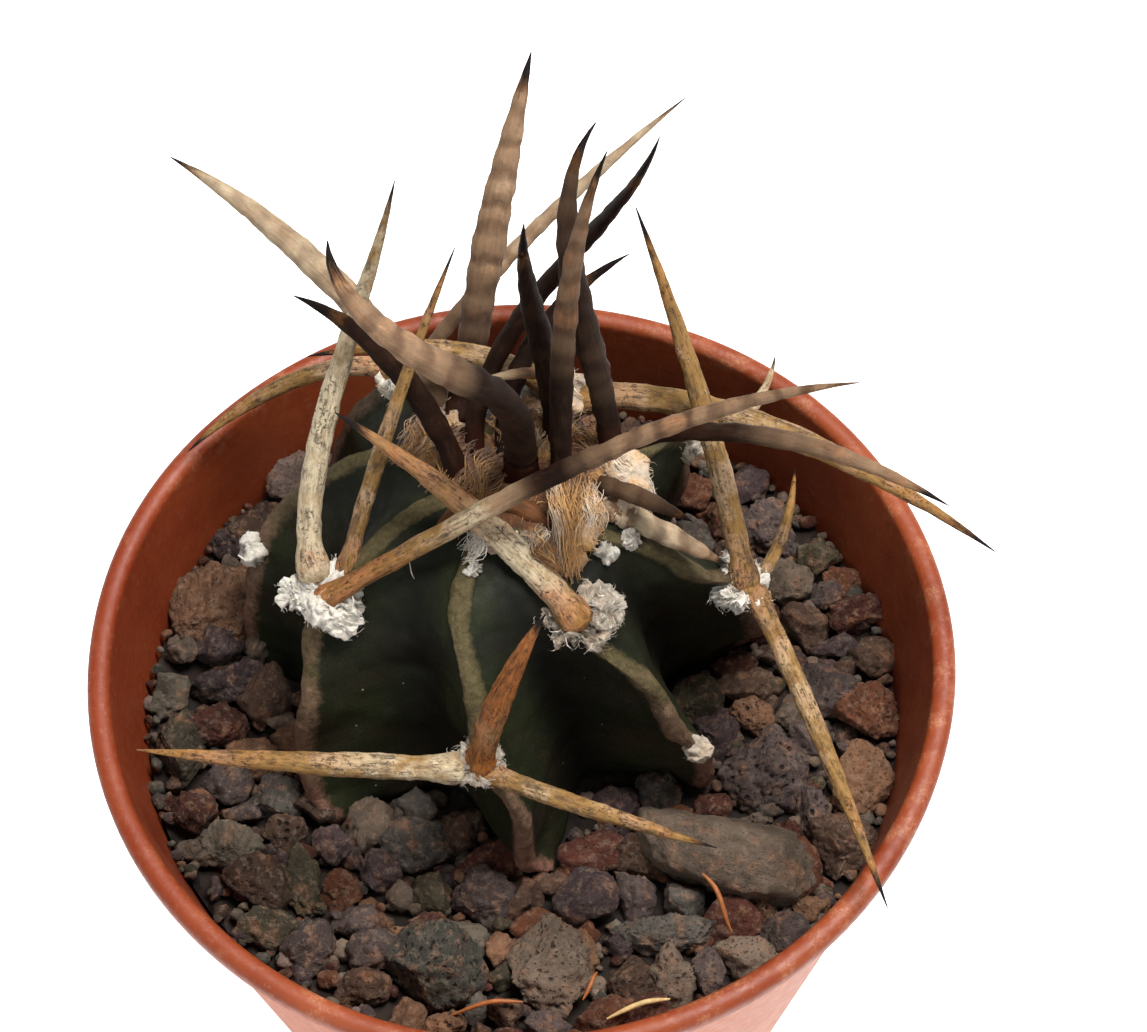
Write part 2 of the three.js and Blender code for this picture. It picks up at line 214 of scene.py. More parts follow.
def tube(curve, ring, scale):
    inputs = {"Curve": curve, "Profile Curve": ring, "Scale": scale, "Fill Caps": True}
    return wire("GeometryNodeCurveToMesh", inputs)


def newPiece(name, mesh):
    piece = bpy.data.objects.new(name, mesh)
    bpy.context.scene.collection.objects.link(piece)
    return piece


def meshPiece(name, mesh, material):  # a piece from mesh work
    made = bpy.data.meshes.new(name)
    mesh.to_mesh(made)
    mesh.free()
    if material:
        made.materials.append(material)
    return newPiece(name, made)


def pointPiece(name, places, facts, edges=()):  # facts is what each vertex carries, by attribute name
    mesh = bpy.data.meshes.new(name)
    mesh.from_pydata([tuple(place) for place in places], list(edges), [])
    kinds = {1: ("FLOAT", "value"), 3: ("FLOAT_VECTOR", "vector"), 4: ("FLOAT_COLOR", "color")}
    for label, values in facts.items():
        values = np.array(values, np.float32).reshape(len(places), -1)
        kind, key = kinds[values.shape[1]]
        mesh.attributes.new(label, kind, "POINT").data.foreach_set(key, values.ravel())
    return newPiece(name, mesh)


def pathPiece(name, paths):  # each path is a row of points, and a point is its place and its facts
    places, edges, facts = [], [], {}
    for path in paths:
        for i, (place, carried) in enumerate(path):
            for label, value in carried.items():
                facts.setdefault(label, []).append(value)
            if i:
                edges.append((len(places) - 1, len(places)))
            places.append(place)
    return pointPiece(name, places, facts, edges)


def evaluated(piece):
    graph = bpy.context.evaluated_depsgraph_get()
    return bpy.data.meshes.new_from_object(piece.evaluated_get(graph), depsgraph=graph)


def runTree(piece, tree, **sizes):
    modifier = piece.modifiers.new(tree.name, "NODES")
    modifier.node_group = tree
    numbers = {labelOf(key): value for key, value in sizes.items()}
    for item in tree.interface.items_tree:
        if item.in_out == "INPUT" and item.name in numbers:
            modifier[item.identifier] = numbers[item.name]
    made = evaluated(piece)
    piece.modifiers.remove(modifier)
    piece.data = made


def finishPiece(piece, slot, *nodes):
    piece.data.transform(Matrix.Scale(mm, 4))
    piece.data.update()
    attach(piece, "root")
    if nodes:
        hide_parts(*nodes)
    print(f"{piece.name}: {sum(len(face.vertices) - 2 for face in piece.data.polygons)} triangles")


# Material helpers

def newMaterial(name):
    bench.material = bpy.data.materials.new(name)
    bench.material.use_nodes = True
    bench.tree = bench.material.node_tree
    bench.tree.nodes.clear()


def endMaterial(color, roughness, normal, **others):  # others are the shader's further inputs, by their names
    names = {"specular": "Specular IOR Level", "sheen": "Sheen Weight", "soft": "Subsurface Weight",
             "softRadius": "Subsurface Radius", "glow": "Emission Strength", "glowColor": "Emission Color"}
    inputs = {"Base Color": color, "Roughness": roughness, "Normal": normal}
    inputs.update({names[key]: value for key, value in others.items()})
    shader = wire("ShaderNodeBsdfPrincipled", inputs)
    addNode("ShaderNodeOutputMaterial", {"Surface": shader})
    return bench.material


def objectPlace():  # where a point is, in millimetres
    return wire("ShaderNodeTexCoord", {}, "Object") * 1000


def fact(name, output="Fac"):
    return wire("ShaderNodeAttribute", {}, output, attribute_name=name)


def mixed(share, first, second):
    return wire("ShaderNodeMix", {0: share, 6: first, 7: second}, 2, data_type="RGBA")


def bump(height, depth, normal=None):  # depth in millimetres
    return wire("ShaderNodeBump", {"Height": height, "Distance": depth * mm, "Normal": normal})


# Pot

potLook = {
    "height": 48.0, "rimRadius": 27.5, "innerLipRadius": 26.0, "lipDepth": 1.6, "lipRound": 0.6,
    "wallTopRadius": 26.6, "footRadius": 17.0, "footRing": 1.8, "wall": 0.9, "floor": 1.2, "segments": 192,
    "drainHoles": 8, "drainRadius": 1.8, "drainCircle": 12.0, "rimWander": 0.06, "shadedInside": 0.8,
    "clay": linear(152, 72, 36), "deepClay": linear(128, 50, 20), "leftShadeClay": linear(126, 44, 12),
    "backlitClay": linear(192, 116, 84), "scuff": linear(200, 142, 106), "dust": linear(150, 104, 84),
}
wallTop = potLook["height"] - potLook["lipDepth"]


def insideAt(height):
    return blend(potLook["footRadius"], potLook["wallTopRadius"], height / wallTop) - potLook["wall"]


def potMaterial():
    newMaterial("potPlastic")
    look, here = potLook, objectPlace()
    across, height = here.part("X"), here.part("Z")
    cloud = noise(here, 0.16, 4, 0.6)
    color = mixed(fit(cloud, 0.35, 0.68), look["deepClay"], look["clay"])
    # Painted shade: the clay darker and redder towards the left side of the pot
    color = mixed(fit(across, -27.0, -12.0, 0.65, 0.0), color, look["leftShadeClay"])
    onLip = fit(height, wallTop - 0.4, look["height"] - 0.3)
    grains = patch(here, 6.0, 3, 0.7, 0.45, 0.62, 0.2, 0.8)
    # Pale scuffs on the lip are wear; they fade towards the left as painted shade on that side
    scuffsDimmedInLeftShade = onLip * patch(here, 0.6, 5, 0.65, 0.5, 0.74) * grains * fit(across, -26.0, -16.0, 0.2, 1.0)
    color = mixed(scuffsDimmedInLeftShade, color, look["scuff"])
    color = mixed(patch(here, 2.4, 4, 0.7, 0.56, 0.72, 0.0, 0.3), color, look["dust"])
    wallLine = fit(height, 0.0, wallTop, insideAt(0), insideAt(wallTop))
    fromWall = calc("LENGTH", here * (1.0, 1.0, 0.0)) - wallLine
    # Painted light: the outer wall below the rim turned paler, as if lit through the thin plastic
    outsideBacklight = fit(fromWall, 0.7, 0.95) * fit(height, wallTop - 1.0, wallTop - 2.5)
    color = mixed(outsideBacklight * fit(cloud, 0.3, 0.7, 0.8, 1.0), color, look["backlitClay"])
    color = color * fit(fromWall, 0.3, 0.6, look["shadedInside"], 1.0)
    fine = bump(noise(here, 9.0, 3, 0.6), 0.012)
    return endMaterial(
        color, patch(here, 1.4, 4, 0.6, 0.3, 0.7, 0.42, 0.62), bump(noise(here, 1.1, 4, 0.6), 0.05, fine),
        specular=0.42, soft=0.08, softRadius=(0.0016, 0.0006, 0.0003))


def potProfile():  # radius and height, from the underside's middle round the lip to the floor's middle
    look = potLook
    top, rim, foot, turn = look["height"], look["rimRadius"], look["footRadius"], look["lipRound"]
    middle, half = (rim + look["innerLipRadius"]) / 2, (rim - look["innerLipRadius"]) / 2
    arc = [i / 10 * math.pi for i in range(11)]
    inner = foot - look["footRing"]  # inside the foot ring the floor's underside stands a little higher
    line = [(0, 0.4), (inner, 0.4), (inner + 0.4, 0), (foot - turn, 0)]
    line += [(foot - turn + turn * math.sin(t), turn - turn * math.cos(t)) for t in arc[1:5]]
    walls = [blend(0.7, wallTop - 0.5, i / 24) for i in range(1, 25)]
    line += [(insideAt(height) + look["wall"], height) for height in walls]
    line += [(look["wallTopRadius"] + 0.12, wallTop - 0.1)]
    line += [(rim - 0.22, wallTop + 0.2), (rim - 0.03, wallTop + 0.45)]
    line += [(middle + half * math.cos(t), top - turn + turn * math.sin(t)) for t in arc]
    down = [blend(wallTop - 0.2, look["floor"] + 0.5, i / 24) for i in range(25)]
    line += [(insideAt(height), height) for height in down]
    return line + [(insideAt(1.2) - 0.5, look["floor"]), (0, look["floor"])]


def potShell(profile, segments):
    mesh, rings = bmesh.new(), []
    turns = [i / segments * 2 * math.pi for i in range(segments)]
    for radius, height in profile[1:-1]:
        rings.append([mesh.verts.new((*aroundAxis(radius, turn), height)) for turn in turns])
    for low, high in zip(rings, rings[1:]):
        for i in range(segments):
            j = (i + 1) % segments
            mesh.faces.new((low[i], low[j], high[j], high[i]))
    for ring, height, order in ((rings[0], profile[0][1], -1), (rings[-1], profile[-1][1], 1)):
        middle = mesh.verts.new((0, 0, height))
        for i in range(segments):
            mesh.faces.new((middle, *(ring[i], ring[(i + 1) % segments])[::order]))
    return meshPiece("potShell", mesh, None)


def buildPot():
    look, piece, cutters = potLook, potShell(potProfile(), potLook["segments"]), []
    for i in range(look["drainHoles"]):
        x, y = aroundAxis(look["drainCircle"], (i + 0.5) / look["drainHoles"] * 2 * math.pi)
        hole, radius = bmesh.new(), look["drainRadius"]
        bmesh.ops.create_cone(
            hole, cap_ends=True, segments=40, radius1=radius, radius2=radius, depth=6,
            matrix=Matrix.Translation((x, y, 0)))
        cutters.append(meshPiece("drainHole", hole, None))
        cut = piece.modifiers.new("drain", "BOOLEAN")
        cut.operation, cut.solver, cut.object = "DIFFERENCE", "EXACT", cutters[-1]
    mesh = evaluated(piece)
    piece.modifiers.clear()
    for cutter in cutters:
        bpy.data.objects.remove(cutter)
    piece.data = mesh
    for vertex in mesh.vertices:  # a moulded rim is never quite round
        turn = math.atan2(vertex.co.y, vertex.co.x)
        wave = look["rimWander"] * vertex.co.z / look["height"]
        wave *= math.sin(3 * turn + 0.6) + 0.5 * math.sin(7 * turn + 2)
        flat = Vector((vertex.co.x, vertex.co.y, 0))
        if flat.length > 1:
            vertex.co += flat.normalized() * wave
    mesh.materials.clear()
    mesh.materials.append(potMaterial())
    mesh.shade_smooth()
    mesh.set_sharp_from_angle(angle=math.radians(50))
    finishPiece(piece, "pot", "pot")


buildPot()


# Soil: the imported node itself, which only shows through the drain holes

def soilMaterial(name, low, middle, high):
    newMaterial(name)
    here = objectPlace()
    crumbs = cells(here, 0.9)
    ramp = addNode("ShaderNodeValToRGB", {"Fac": noise(here, 0.8, 6, 0.7)})
    marks = ramp.color_ramp.elements
    marks.new(0.5)
    for mark, share, color in zip(marks, (0.3, 0.55, 0.72), (low, middle, high)):
        mark.position, mark.color = share, (*color, 1)
    color = mixed(fit(crumbs, 0.1, 0.6, 0, 0.7), low, Wire(ramp.outputs[0]))
    return endMaterial(color, 0.95, bump(crumbs, 0.5))


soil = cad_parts["soil"].data
soil.materials.clear()
soil.materials.append(soilMaterial("pottingMix", linear(30, 20, 14), linear(66, 46, 32), linear(112, 82, 58)))
print("soil finished")


# Body: eight twisted ribs with a corky cord on each edge, round a short tap root

bodyLook = {
    "radius": 17.0, "widestHeight": 41.7, "domeHeight": 16.8, "skirtDepth": 2.7, "fullness": 2.44,
    "foot": (-1.0, 5.2), "top": (-0.4, 5.9), "ribTurns": (-136, -84, -39, 0, 45, 90, 135, 178.5),
    "ribTwist": -36.0, "twistEase": 1.35, "valleyLow": 0.33, "valleyTop": 0.13, "valleyEase": 0.85,
    "cordHeight": 0.45, "cordHalfWidth": 0.8, "cordWave": 1.6, "waveRate": 19.0, "waveShift": 2.1,
    "lowestAngle": -0.3, "highestAngle": 1.45, "rootTip": 23.8, "rootRadius": 10.5, "rootEnd": 0.84,
    "columnsPerRib": 40, "rows": 150, "mergeWithin": 0.003,
    "skin": linear(35, 40, 20), "deepSkin": linear(18, 21, 11), "bloomSkin": linear(52, 35, 28),
    # valley is painted shade for the deep valleys between the ribs
    "fleck": linear(176, 168, 150), "valley": linear(9, 10, 7),
    "cordTop": linear(92, 82, 54), "cordSide": linear(120, 95, 76), "cordLow": linear(128, 91, 76),
}


def domeRing(share):  # the radius and height of the ribs' edges, from 0 at the soil to 1 at the crown
    look = bodyLook
    angle, power = blend(look["lowestAngle"], look["highestAngle"], share), 2 / look["fullness"]
    if angle > 0:
        rise = look["domeHeight"] * math.sin(angle) ** power
    else:
        rise = look["skirtDepth"] * math.sin(angle) / math.sin(-look["lowestAngle"])
    return look["radius"] * math.cos(angle) ** power, look["widestHeight"] + rise


def edgePoint(rib, share):
    look = bodyLook
    radius, height = domeRing(share)
    wave = look["cordWave"] * math.sin(share * look["waveRate"] + rib * look["waveShift"])
    turn = look["ribTurns"][rib] + wave + look["ribTwist"] * share ** look["twistEase"]
    along = (height - look["widestHeight"]) / look["domeHeight"]
    out = aroundAxis(radius, math.radians(turn))
    x, y = (blend(foot, top, along) + part for foot, top, part in zip(look["foot"], look["top"], out))
    return Vector((x, y, height))


def skinMaterial():
    newMaterial("cactusSkin")
    look, here = bodyLook, objectPlace()
    share, cord = fact("bodyShare"), fact("cord")
    color = mixed(fit(noise(here, 0.13, 4, 0.6, 0.4), 0.36, 0.64), look["deepSkin"], look["skin"])
    bloom = patch(here, 0.22, 5, 0.65, 0.46, 0.7, 0.0, 0.8) * fit(share, 0.55, 0.1, 0.25, 1.0)
    color = mixed(bloom, color, look["bloomSkin"]) * patch(here, 7.0, 2, 0.6, 0.42, 0.62, 0.8, 1.2)
    color = mixed(fit(cells(here, 0.55), 0.045, 0.02, 0.0, 0.75), color, look["fleck"])
    bark = mixed(fit(share + wander(noise(here, 0.5), 0.12), 0.35, 0.6), look["cordSide"], look["cordTop"])
    bark = mixed(fit(share, 0.28, 0.12), bark, look["cordLow"])
    bark = bark * patch(here, 2.6, 6, 0.7, 0.35, 0.68, 0.55, 1.18)  # scurf
    color = mixed(fit(cord + wander(noise(here, 2.2, 4, 0.7), 0.22), 0.25, 0.75), color, bark)
    # Painted shade: the valleys between the ribs darkened towards near black
    color = mixed(fit(fact("phase"), 0.4, 0.95, 0, 0.8), color, look["valley"])
    normal = bump(noise(here, 3.2, 5, 0.7) * cord, 0.16, bump(noise(here, 8.0, 4, 0.7), 0.03))
    return endMaterial(
        color, patch(here, 1.6, 4, 0.5, 0.3, 0.7, 0.56, 0.76), normal,
        specular=0.2, soft=0.06, softRadius=(0.0006, 0.0008, 0.0003))


def bodyTree(material):
    look, ribs = bodyLook, float(len(bodyLook["ribTurns"]))
    keys = ("columnsPerRib", "rows", "radius", "domeHeight", "fullness", "ribTwist", "valleyLow", "valleyTop",
            "cordHeight", "cordHalfWidth")
    sizes = newTree("ribbedBody", {key: look[key] for key in keys})
    counts = {"Vertices X": sizes.columnsPerRib * ribs + 1.0, "Vertices Y": sizes.rows + 1.0}
    grid = wire("GeometryNodeMeshGrid", counts)
    across, up = position().part("X") * ribs + ribs / 2, position().part("Y") + 0.5
    rootShare, share, capShare = fit(up, 0.0, 0.12), fit(up, 0.12, 0.98), fit(up, 0.98, 1.0)

    # Which rib a column belongs to, and how far it is from the rib's edge: phase is 0 there and 1 in a valley
    rib = calc("FLOOR", across + 0.0001)
    within = across - rib
    past = calc("GREATER_THAN", within, 0.5)
    phase = calc("MAXIMUM", 1.0 - abs(within * 2.0 - 1.0), 0.0) ** 1.7

    def turnOf(number):
        index = calc("MODULO", number, ribs)
        sampled = {"Geometry": sizes.geometry, "Value": read("ribTurn"), "Index": index}
        rounds = calc("GREATER_THAN", number, ribs - 0.5) * 360.0
        return wire("GeometryNodeSampleIndex", sampled) + rounds, index

    (nearTurn, nearRib), (farTurn, _) = turnOf(rib + past), turnOf(rib + 1.0 - past)
    offset = (farTurn - nearTurn) * 0.5 * phase
    wave = calc("SINE", share * look["waveRate"] + nearRib * look["waveShift"])
    wave = wave * look["cordWave"] * (1.0 - phase)
    turn = calc("RADIANS", nearTurn + offset + wave + sizes.ribTwist * share ** look["twistEase"])

    # The dome's section
    angle, power = fit(share, 0.0, 1.0, look["lowestAngle"], look["highestAngle"]), 2.0 / sizes.fullness
    sine = calc("SINE", angle)
    ring = sizes.radius * calc("COSINE", angle) ** power
    upward = calc("MAXIMUM", sine, 0.0) ** power * sizes.domeHeight
    downward = calc("MINIMUM", sine, 0.0) / math.sin(-look["lowestAngle"]) * look["skirtDepth"]
    height = upward + downward + look["widestHeight"]

    # Ribs, valleys and cords
    depth = sizes.valleyLow + fit(share, 0.4, 1.0, kind="SMOOTHSTEP") * (sizes.valleyTop - sizes.valleyLow)
    flank = calc("SINE", fit(phase, 0.06, 1.0, 0.0, math.pi / 2)) ** look["valleyEase"]
    distance = abs(calc("RADIANS", offset)) * ring / sizes.cordHalfWidth
    cord = calc("SQRT", calc("MAXIMUM", 1.0 - distance * distance, 0.0))
    domeRadius = calc("MAXIMUM", ring * (1.0 - depth * flank) - sizes.cordHeight * (1.0 - cord), 0.4)
    domeRadius = domeRadius * (1.0 - capShare)

    # The tap root, which widens from its tip into the ribbed foot
    rootRadius = fit(rootShare, 0.0, look["rootEnd"]) ** 0.35 * look["rootRadius"]
    intoDome = fit(rootShare, look["rootEnd"], 1.0, kind="SMOOTHSTEP")
    radius = rootRadius + intoDome * (domeRadius - rootRadius)
    footHeight = look["widestHeight"] - look["skirtDepth"]
    z = height + fit(rootShare, 0.0, 1.0, look["rootTip"] - footHeight, 0.0)
    alongAxis = fit(height, look["widestHeight"], look["widestHeight"] + look["domeHeight"])
    axis = [fit(alongAxis, 0.0, 1.0, foot, top) for foot, top in zip(look["foot"], look["top"])]
    place = vectorOf(radius * calc("COSINE", turn) + axis[0], radius * calc("SINE", turn) + axis[1], z)
    made = setPlace(store(grid, phase=phase, cord=cord * intoDome, bodyShare=share), place)
    made = wire("GeometryNodeMergeByDistance", {"Geometry": made, "Distance": look["mergeWithin"]})

    # Skin that isn't quite even, and cords with knots and wrinkles
    here, onCord = position(), read("cord")
    knots = patch(here, 0.75, 3, 0.6, 0.3, 0.7, -0.09, 0.08) * onCord
    wrinkles = patch(here, 3.4, 3, 0.6, 0.3, 0.7, -0.05, 0.04) * onCord
    return endTree(pushOut(made, wander(noise(here, 0.28), 0.22) + knots + wrinkles), material)


def buildBody():
    turns = bodyLook["ribTurns"]
    piece = pointPiece("cactusBody", [edgePoint(rib, 0) for rib in range(len(turns))], {"ribTurn": turns})
    runTree(piece, bodyTree(skinMaterial()))
    finishPiece(piece, "skin", "cactus_body")


buildBody()


# Spines

spineLook = {
    "rows": 72, "rootRows": 6, "sides": 16, "rowsOfPart": 8, "stepsInRow": 4, "flatness": 0.8, "rooted": 0.8,
    "crownMiddle": (0.6, 6.8, 57.6), "bandRate": 3.4, "bandDepth": 0.05, "wobble": 0.1,
    "straw": linear(150, 115, 66), "strawPale": linear(208, 191, 160), "rust": linear(152, 86, 34),
    "streak": linear(112, 72, 36), "taupe": linear(144, 115, 89), "taupeBand": linear(84, 60, 44),
    "chocolate": linear(27, 13, 7), "bloom": linear(50, 29, 17), "tip": linear(20, 11, 10),
    "redBase": linear(60, 17, 9), "speck": linear(32, 25, 21), "stain": linear(86, 68, 50),
    "marks": (0.03, 0.27, 0.52, 0.88), "tapers": {"strawToTaupe": 5},
    "ownMarks": {"strawToTaupe": (0.14, 0.33, 0.46, 0.6), "darkToTaupe": (0.1, 0.48, 0.66, 0.88)},
}

# A coat is age, ring, pale and rust, each at four marks along the spine, then red and tip. Age 0 is weathered
# straw and 1 young chocolate, ring how far the bands stand out, pale how bleached it is and rust how orange.
# Red is how translucent the foot is, and tip where the dark tip starts.
coats = {
    "straw": ((0, 0, 0, 0.1), (0, 0, 0, 0.1), (0.3, 0.35, 0.15, 0), (0.5, 0.25, 0.25, 0.4), 0, 0.87),
    "strawToTip": ((0, 0, 0, 0), (0, 0, 0, 0), (0.75, 0.35, 0.1, 0.1), (0, 0.1, 0.35, 0.45), 0, 0.985),
    "bleached": ((0, 0, 0, 0.1), (0, 0, 0.1, 0.2), (0.9, 1, 0.85, 0.5), (0.3, 0, 0, 0.3), 0, 0.88),
    "rusty": ((0, 0, 0.05, 0.2), (0.1, 0.1, 0.1, 0.1), (0.1, 0.5, 0.1, 0.1),
              (0.85, 0.65, 0.95, 0.85), 0, 0.86),
    "strawToRust": ((0, 0, 0.05, 0.25), (0, 0, 0.1, 0.1), (0.3, 0.9, 0.45, 0.2), (0.6, 0, 0.6, 0.6), 0, 0.86),
    "strawToTaupe": ((0, 0.15, 0.95, 0.53), (0, 0, 0.6, 1), (0.2, 0.6, 0.1, 0.1),
                     (0.6, 0.1, 0.15, 0.2), 0, 0.95),
    "taupe": ((1, 0.74, 0.52, 0.42), (0.6, 1, 1, 0.7), (0, 0.1, 0.25, 0.25), (0, 0.1, 0.1, 0), 0.2, 0.87),
    "cream": ((0.7, 0.42, 0.36, 0.34), (0.5, 0.6, 0.4, 0.3), (0.1, 0.3, 0.6, 0.65),
              (0, 0.2, 0.1, 0), 0, 0.89),
    "darkToTaupe": ((1, 1, 0.44, 0.42), (0.3, 0.5, 0.9, 0.8), (0, 0, 0.3, 0.2), (0, 0, 0.2, 0.3), 0.7, 0.86),
    "darkToRust": ((1, 0.95, 0.66, 0.58), (0.3, 0.5, 0.9, 0.8),
                   (0, 0, 0.1, 0.1), (0, 0, 0.3, 0.4), 0.7, 0.86),
    "darkBanded": ((0.95, 0.8, 0.84, 0.78), (0.6, 1, 1, 0.9), (0, 0, 0, 0), (0, 0.1, 0.1, 0.1), 0.9, 0.86),
    "darkToStraw": ((1, 1, 0.66, 0.42), (0.4, 0.4, 0.4, 0.3), (0, 0, 0.2, 0.1), (0, 0, 0.2, 0.3), 0.5, 0.87),
    "chocolate": ((1, 1, 0.92, 0.95), (0.5, 0.6, 0.7, 0.6), (0, 0, 0, 0), (0, 0, 0.1, 0.1), 0.9, 0.8),
    "ember": ((0.1, 0.1, 0.3, 0.45), (0, 0, 0.2, 0.3), (0, 0, 0.3, 0.9), (1, 1, 0.6, 0), 0.1, 0.9),
    "redHorn": ((0.76, 0.7, 0.68, 0.6), (0.2, 0.2, 0.3, 0.3), (0, 0, 0, 0), (1, 1, 1, 0.9), 0.6, 0.9),
    "pink": ((0.38, 0.34, 0.36, 0.5), (0.4, 0.7, 0.9, 0.9), (0.3, 0.75, 0.7, 0.2),
             (0.5, 0.1, 0.1, 0.1), 0.2, 0.88),
    "greyHorn": ((0.88, 0.76, 0.7, 0.84), (0.4, 0.6, 0.6, 0.5),
                 (0, 0.1, 0.2, 0.1), (0.2, 0.1, 0.1, 0.1), 0.3, 0.86),
}

# A cluster is its node, its slot, its areole as rib and share up the body, and its spines; the crown has no
# areole. A spine is the offset of its foot, turn, rise, length, sway, lift, ease, width and coat.
spineClusters = {
    "Crown": ("crown", "young_spines", None, [
        ((2.5, 6.7, -0.4), 166, 70, 17, 23, -70, 0.5, 1.6, "straw"),
        ((3.6, 6.1, -0.8), 15, 38, 29, -50, -57, 0.3, 1.9, "straw"),
        ((2.9, 6.8, -0.3), -125, 76, 12, -27, -61, 1, 0.95, "ember"),
        ((-4.6, 6.2, 0), 133, 33, 23, 15, -22, 1.4, 1.9, "cream"),
        ((-3.3, 4.8, 0), 80, 24, 23.5, -12, 13, 0.7, 2.15, "taupe"),
        ((0.2, -0.6, 0), -92, 95, 29, -180, -102, 1.4, 2.3, "darkToTaupe"),
        ((-3.2, -1.2, 0), 111, 51, 18, 68, -13, 1.2, 1.6, "chocolate"),
        ((2.1, 0.6, 0), 68, 45, 20, 95, 51, 0.8, 1.6, "chocolate"),
        ((2.6, -1.3, 0), 85, 74, 25, -42, -19, 1.8, 1.5, "darkToRust"),
        ((5.9, 1.8, 0), 142, 85, 24.5, -95, -66, 1.8, 1.8, "darkBanded"),
        ((-2, -0.4, 0), 130, 14, 32, -180, 62, 0.6, 1.3, "chocolate"),
        ((-0.4, -0.8, 0), 114, 33, 18, -95, -18, 0.7, 1.3, "chocolate"),
        ((1.7, -3.7, 0), 136, 32, 8.5, 95, -62, 1.1, 1.5, "redHorn"),
        ((5.8, 1.8, 0), 9, 40, 23, -49, -40, 0.5, 1.3, "darkToStraw"),
        ((3.9, -0.1, 0), -38, 26, 9.5, -10, -6, 0.9, 1.3, "greyHorn"),
        ((5.6, -2.3, 0), -32, -6, 8, 1, -1, 1, 1.6, "pink"),
    ]),
    "FrontLeft": ("spines_front_left", "old_spines", (0, 0.67), [
        ((-0.9, 1.1, 0.7), 112, 6, 27.5, -82, 69, 0.5, 1.6, "bleached"),
        ((1.1, 1.2, 0.7), 63, 48, 22, -15, 4, 0.9, 1.1, "straw"),
        ((-0.5, -0.4, -0.2), 7, 35, 37.5, -16, -20, 2.5, 1.35, "strawToTaupe"),
    ]),
    "Front": ("spines_front", "old_spines", (1, 0.48), [
        ((0.1, -0.1, 0), 28, 78, 14.5, -7, -16, 1, 1.9, "rusty"),
        ((-1.4, -0.4, -0.2), 176, 1, 19.5, -5, 2, 0.8, 1.7, "strawToTip"),
        ((0.4, -0.7, -0.4), -27, 0, 15, 5, 0, 0.9, 1.3, "straw"),
    ]),
    "FrontRight": ("spines_front_right", "old_spines", (2, 0.78), [
        ((0, -0.2, -0.1), 124, 18, 19.5, 32, 13, 0.7, 1.9, "strawToRust"),
    ]),
    "Right": ("spines_right", "old_spines", (3, 0.47), [
        ((0.3, 0, 0), 100, 49, 25, 15, -3, 0.6, 1.55, "straw"),
        ((1, -0.9, -0.5), -73, 1, 23, -5, -1, 1, 1.35, "straw"),
        ((0.7, -0.5, -0.2), 55, -21, 12.5, 28, 8, 0.8, 0.9, "straw"),
    ]),
    "BackRight": ("spines_back_right", "old_spines", (4, 0.55), [
        ((0.8, -0.1, 0), 26, -33, 11, 52, 25, 0.8, 1, "bleached"),
    ]),
    "BackLeft": ("spines_back_left", "old_spines", (6, 0.61), [
        ((-0.6, 0.3, 0.2), 132, -10, 16, 82, -14, 0.5, 1.4, "straw"),
        ((0.7, 0.5, 0.3), 58, 12, 25, -29, 8, 0.5, 1.1, "cream"),
    ]),
}


def startOf(areole):
    return edgePoint(*areole) if areole else Vector(spineLook["crownMiddle"])


# Points on a spine's middle line from inside its wool to its tip, by the same walk as in the part's source
def spinePath(start, spine):
    foot, turn, rise, length, sway, lift, ease = spine[:7]
    rows, rootRows = spineLook["rows"], spineLook["rootRows"]
    coarse = spineLook["stepsInRow"] * spineLook["rowsOfPart"]

    def heading(share):
        level, up = math.radians(turn + sway * share ** ease), math.radians(rise + lift * share ** ease)
        return Vector((*aroundAxis(math.cos(up), level), math.sin(up)))

    knots = [start + Vector(foot)]
    for i in range(coarse):
        knots.append(knots[-1] + heading((i + 0.5) / coarse) * (length / coarse))
    points = [knots[0] - heading(0) * spineLook["rooted"] * (1 - k / rootRows) for k in range(rootRows)]
    for row in range(rows + 1):
        place = row / rows * coarse
        low = min(int(place), coarse - 1)
        points.append(knots[low].lerp(knots[low + 1], place - low))
    return points


def spineBelly(share, age, taper):  # a spine's half width as a share of its widest: full until near the tip
    bulb = blend(blend(1.28, 1.14, age), 0.94, smooth(share, 0.0, 0.09))
    young = blend(0.84, 1.12, smooth(share, 0.1, 0.6))
    belly = blend(bulb, blend(1.0, young, age), smooth(share, 0.04, 0.3))
    return belly * (1 - 0.975 * share ** (taper or blend(2.5, 3.2, age))) + 0.012


def spineFacts(spine, number, seed):  # what a spine carries at a point, by the point's number on its path
    look, length, width, coat = spineLook, spine[3], spine[7], spine[8]
    *tones, red, tip = coats[coat]
    past = number - look["rootRows"]
    share, deep = max(0, past) / look["rows"], max(0, -past) / look["rootRows"]
    belly = spineBelly(share, tones[0][0], look["tapers"].get(coat)) * max(0.12, math.sqrt(1 - deep * deep))
    marks = look["ownMarks"].get(coat, look["marks"])
    age, ring, pale, rust = (float(np.interp(share, marks, tone)) for tone in tones)
    return {
        "halfWidth": width / 2 * belly, "along": share, "alongLength": share * length - deep * look["rooted"],
        "age": age, "ring": ring, "pale": pale, "rust": rust, "red": red, "tipStart": tip, "spineSeed": seed,
    }


def bandsAt(place, rate):  # bands across the spine, a little uneven, as the yearly growth leaves them
    return calc("SINE", place.part("Z") * rate + wander(noise(place, 0.5), 1.5))


def stretch(where, scale, location=(0.0, 0.0, 0.0)):
    return wire("ShaderNodeMapping", {"Vector": where, "Scale": scale, "Location": location})


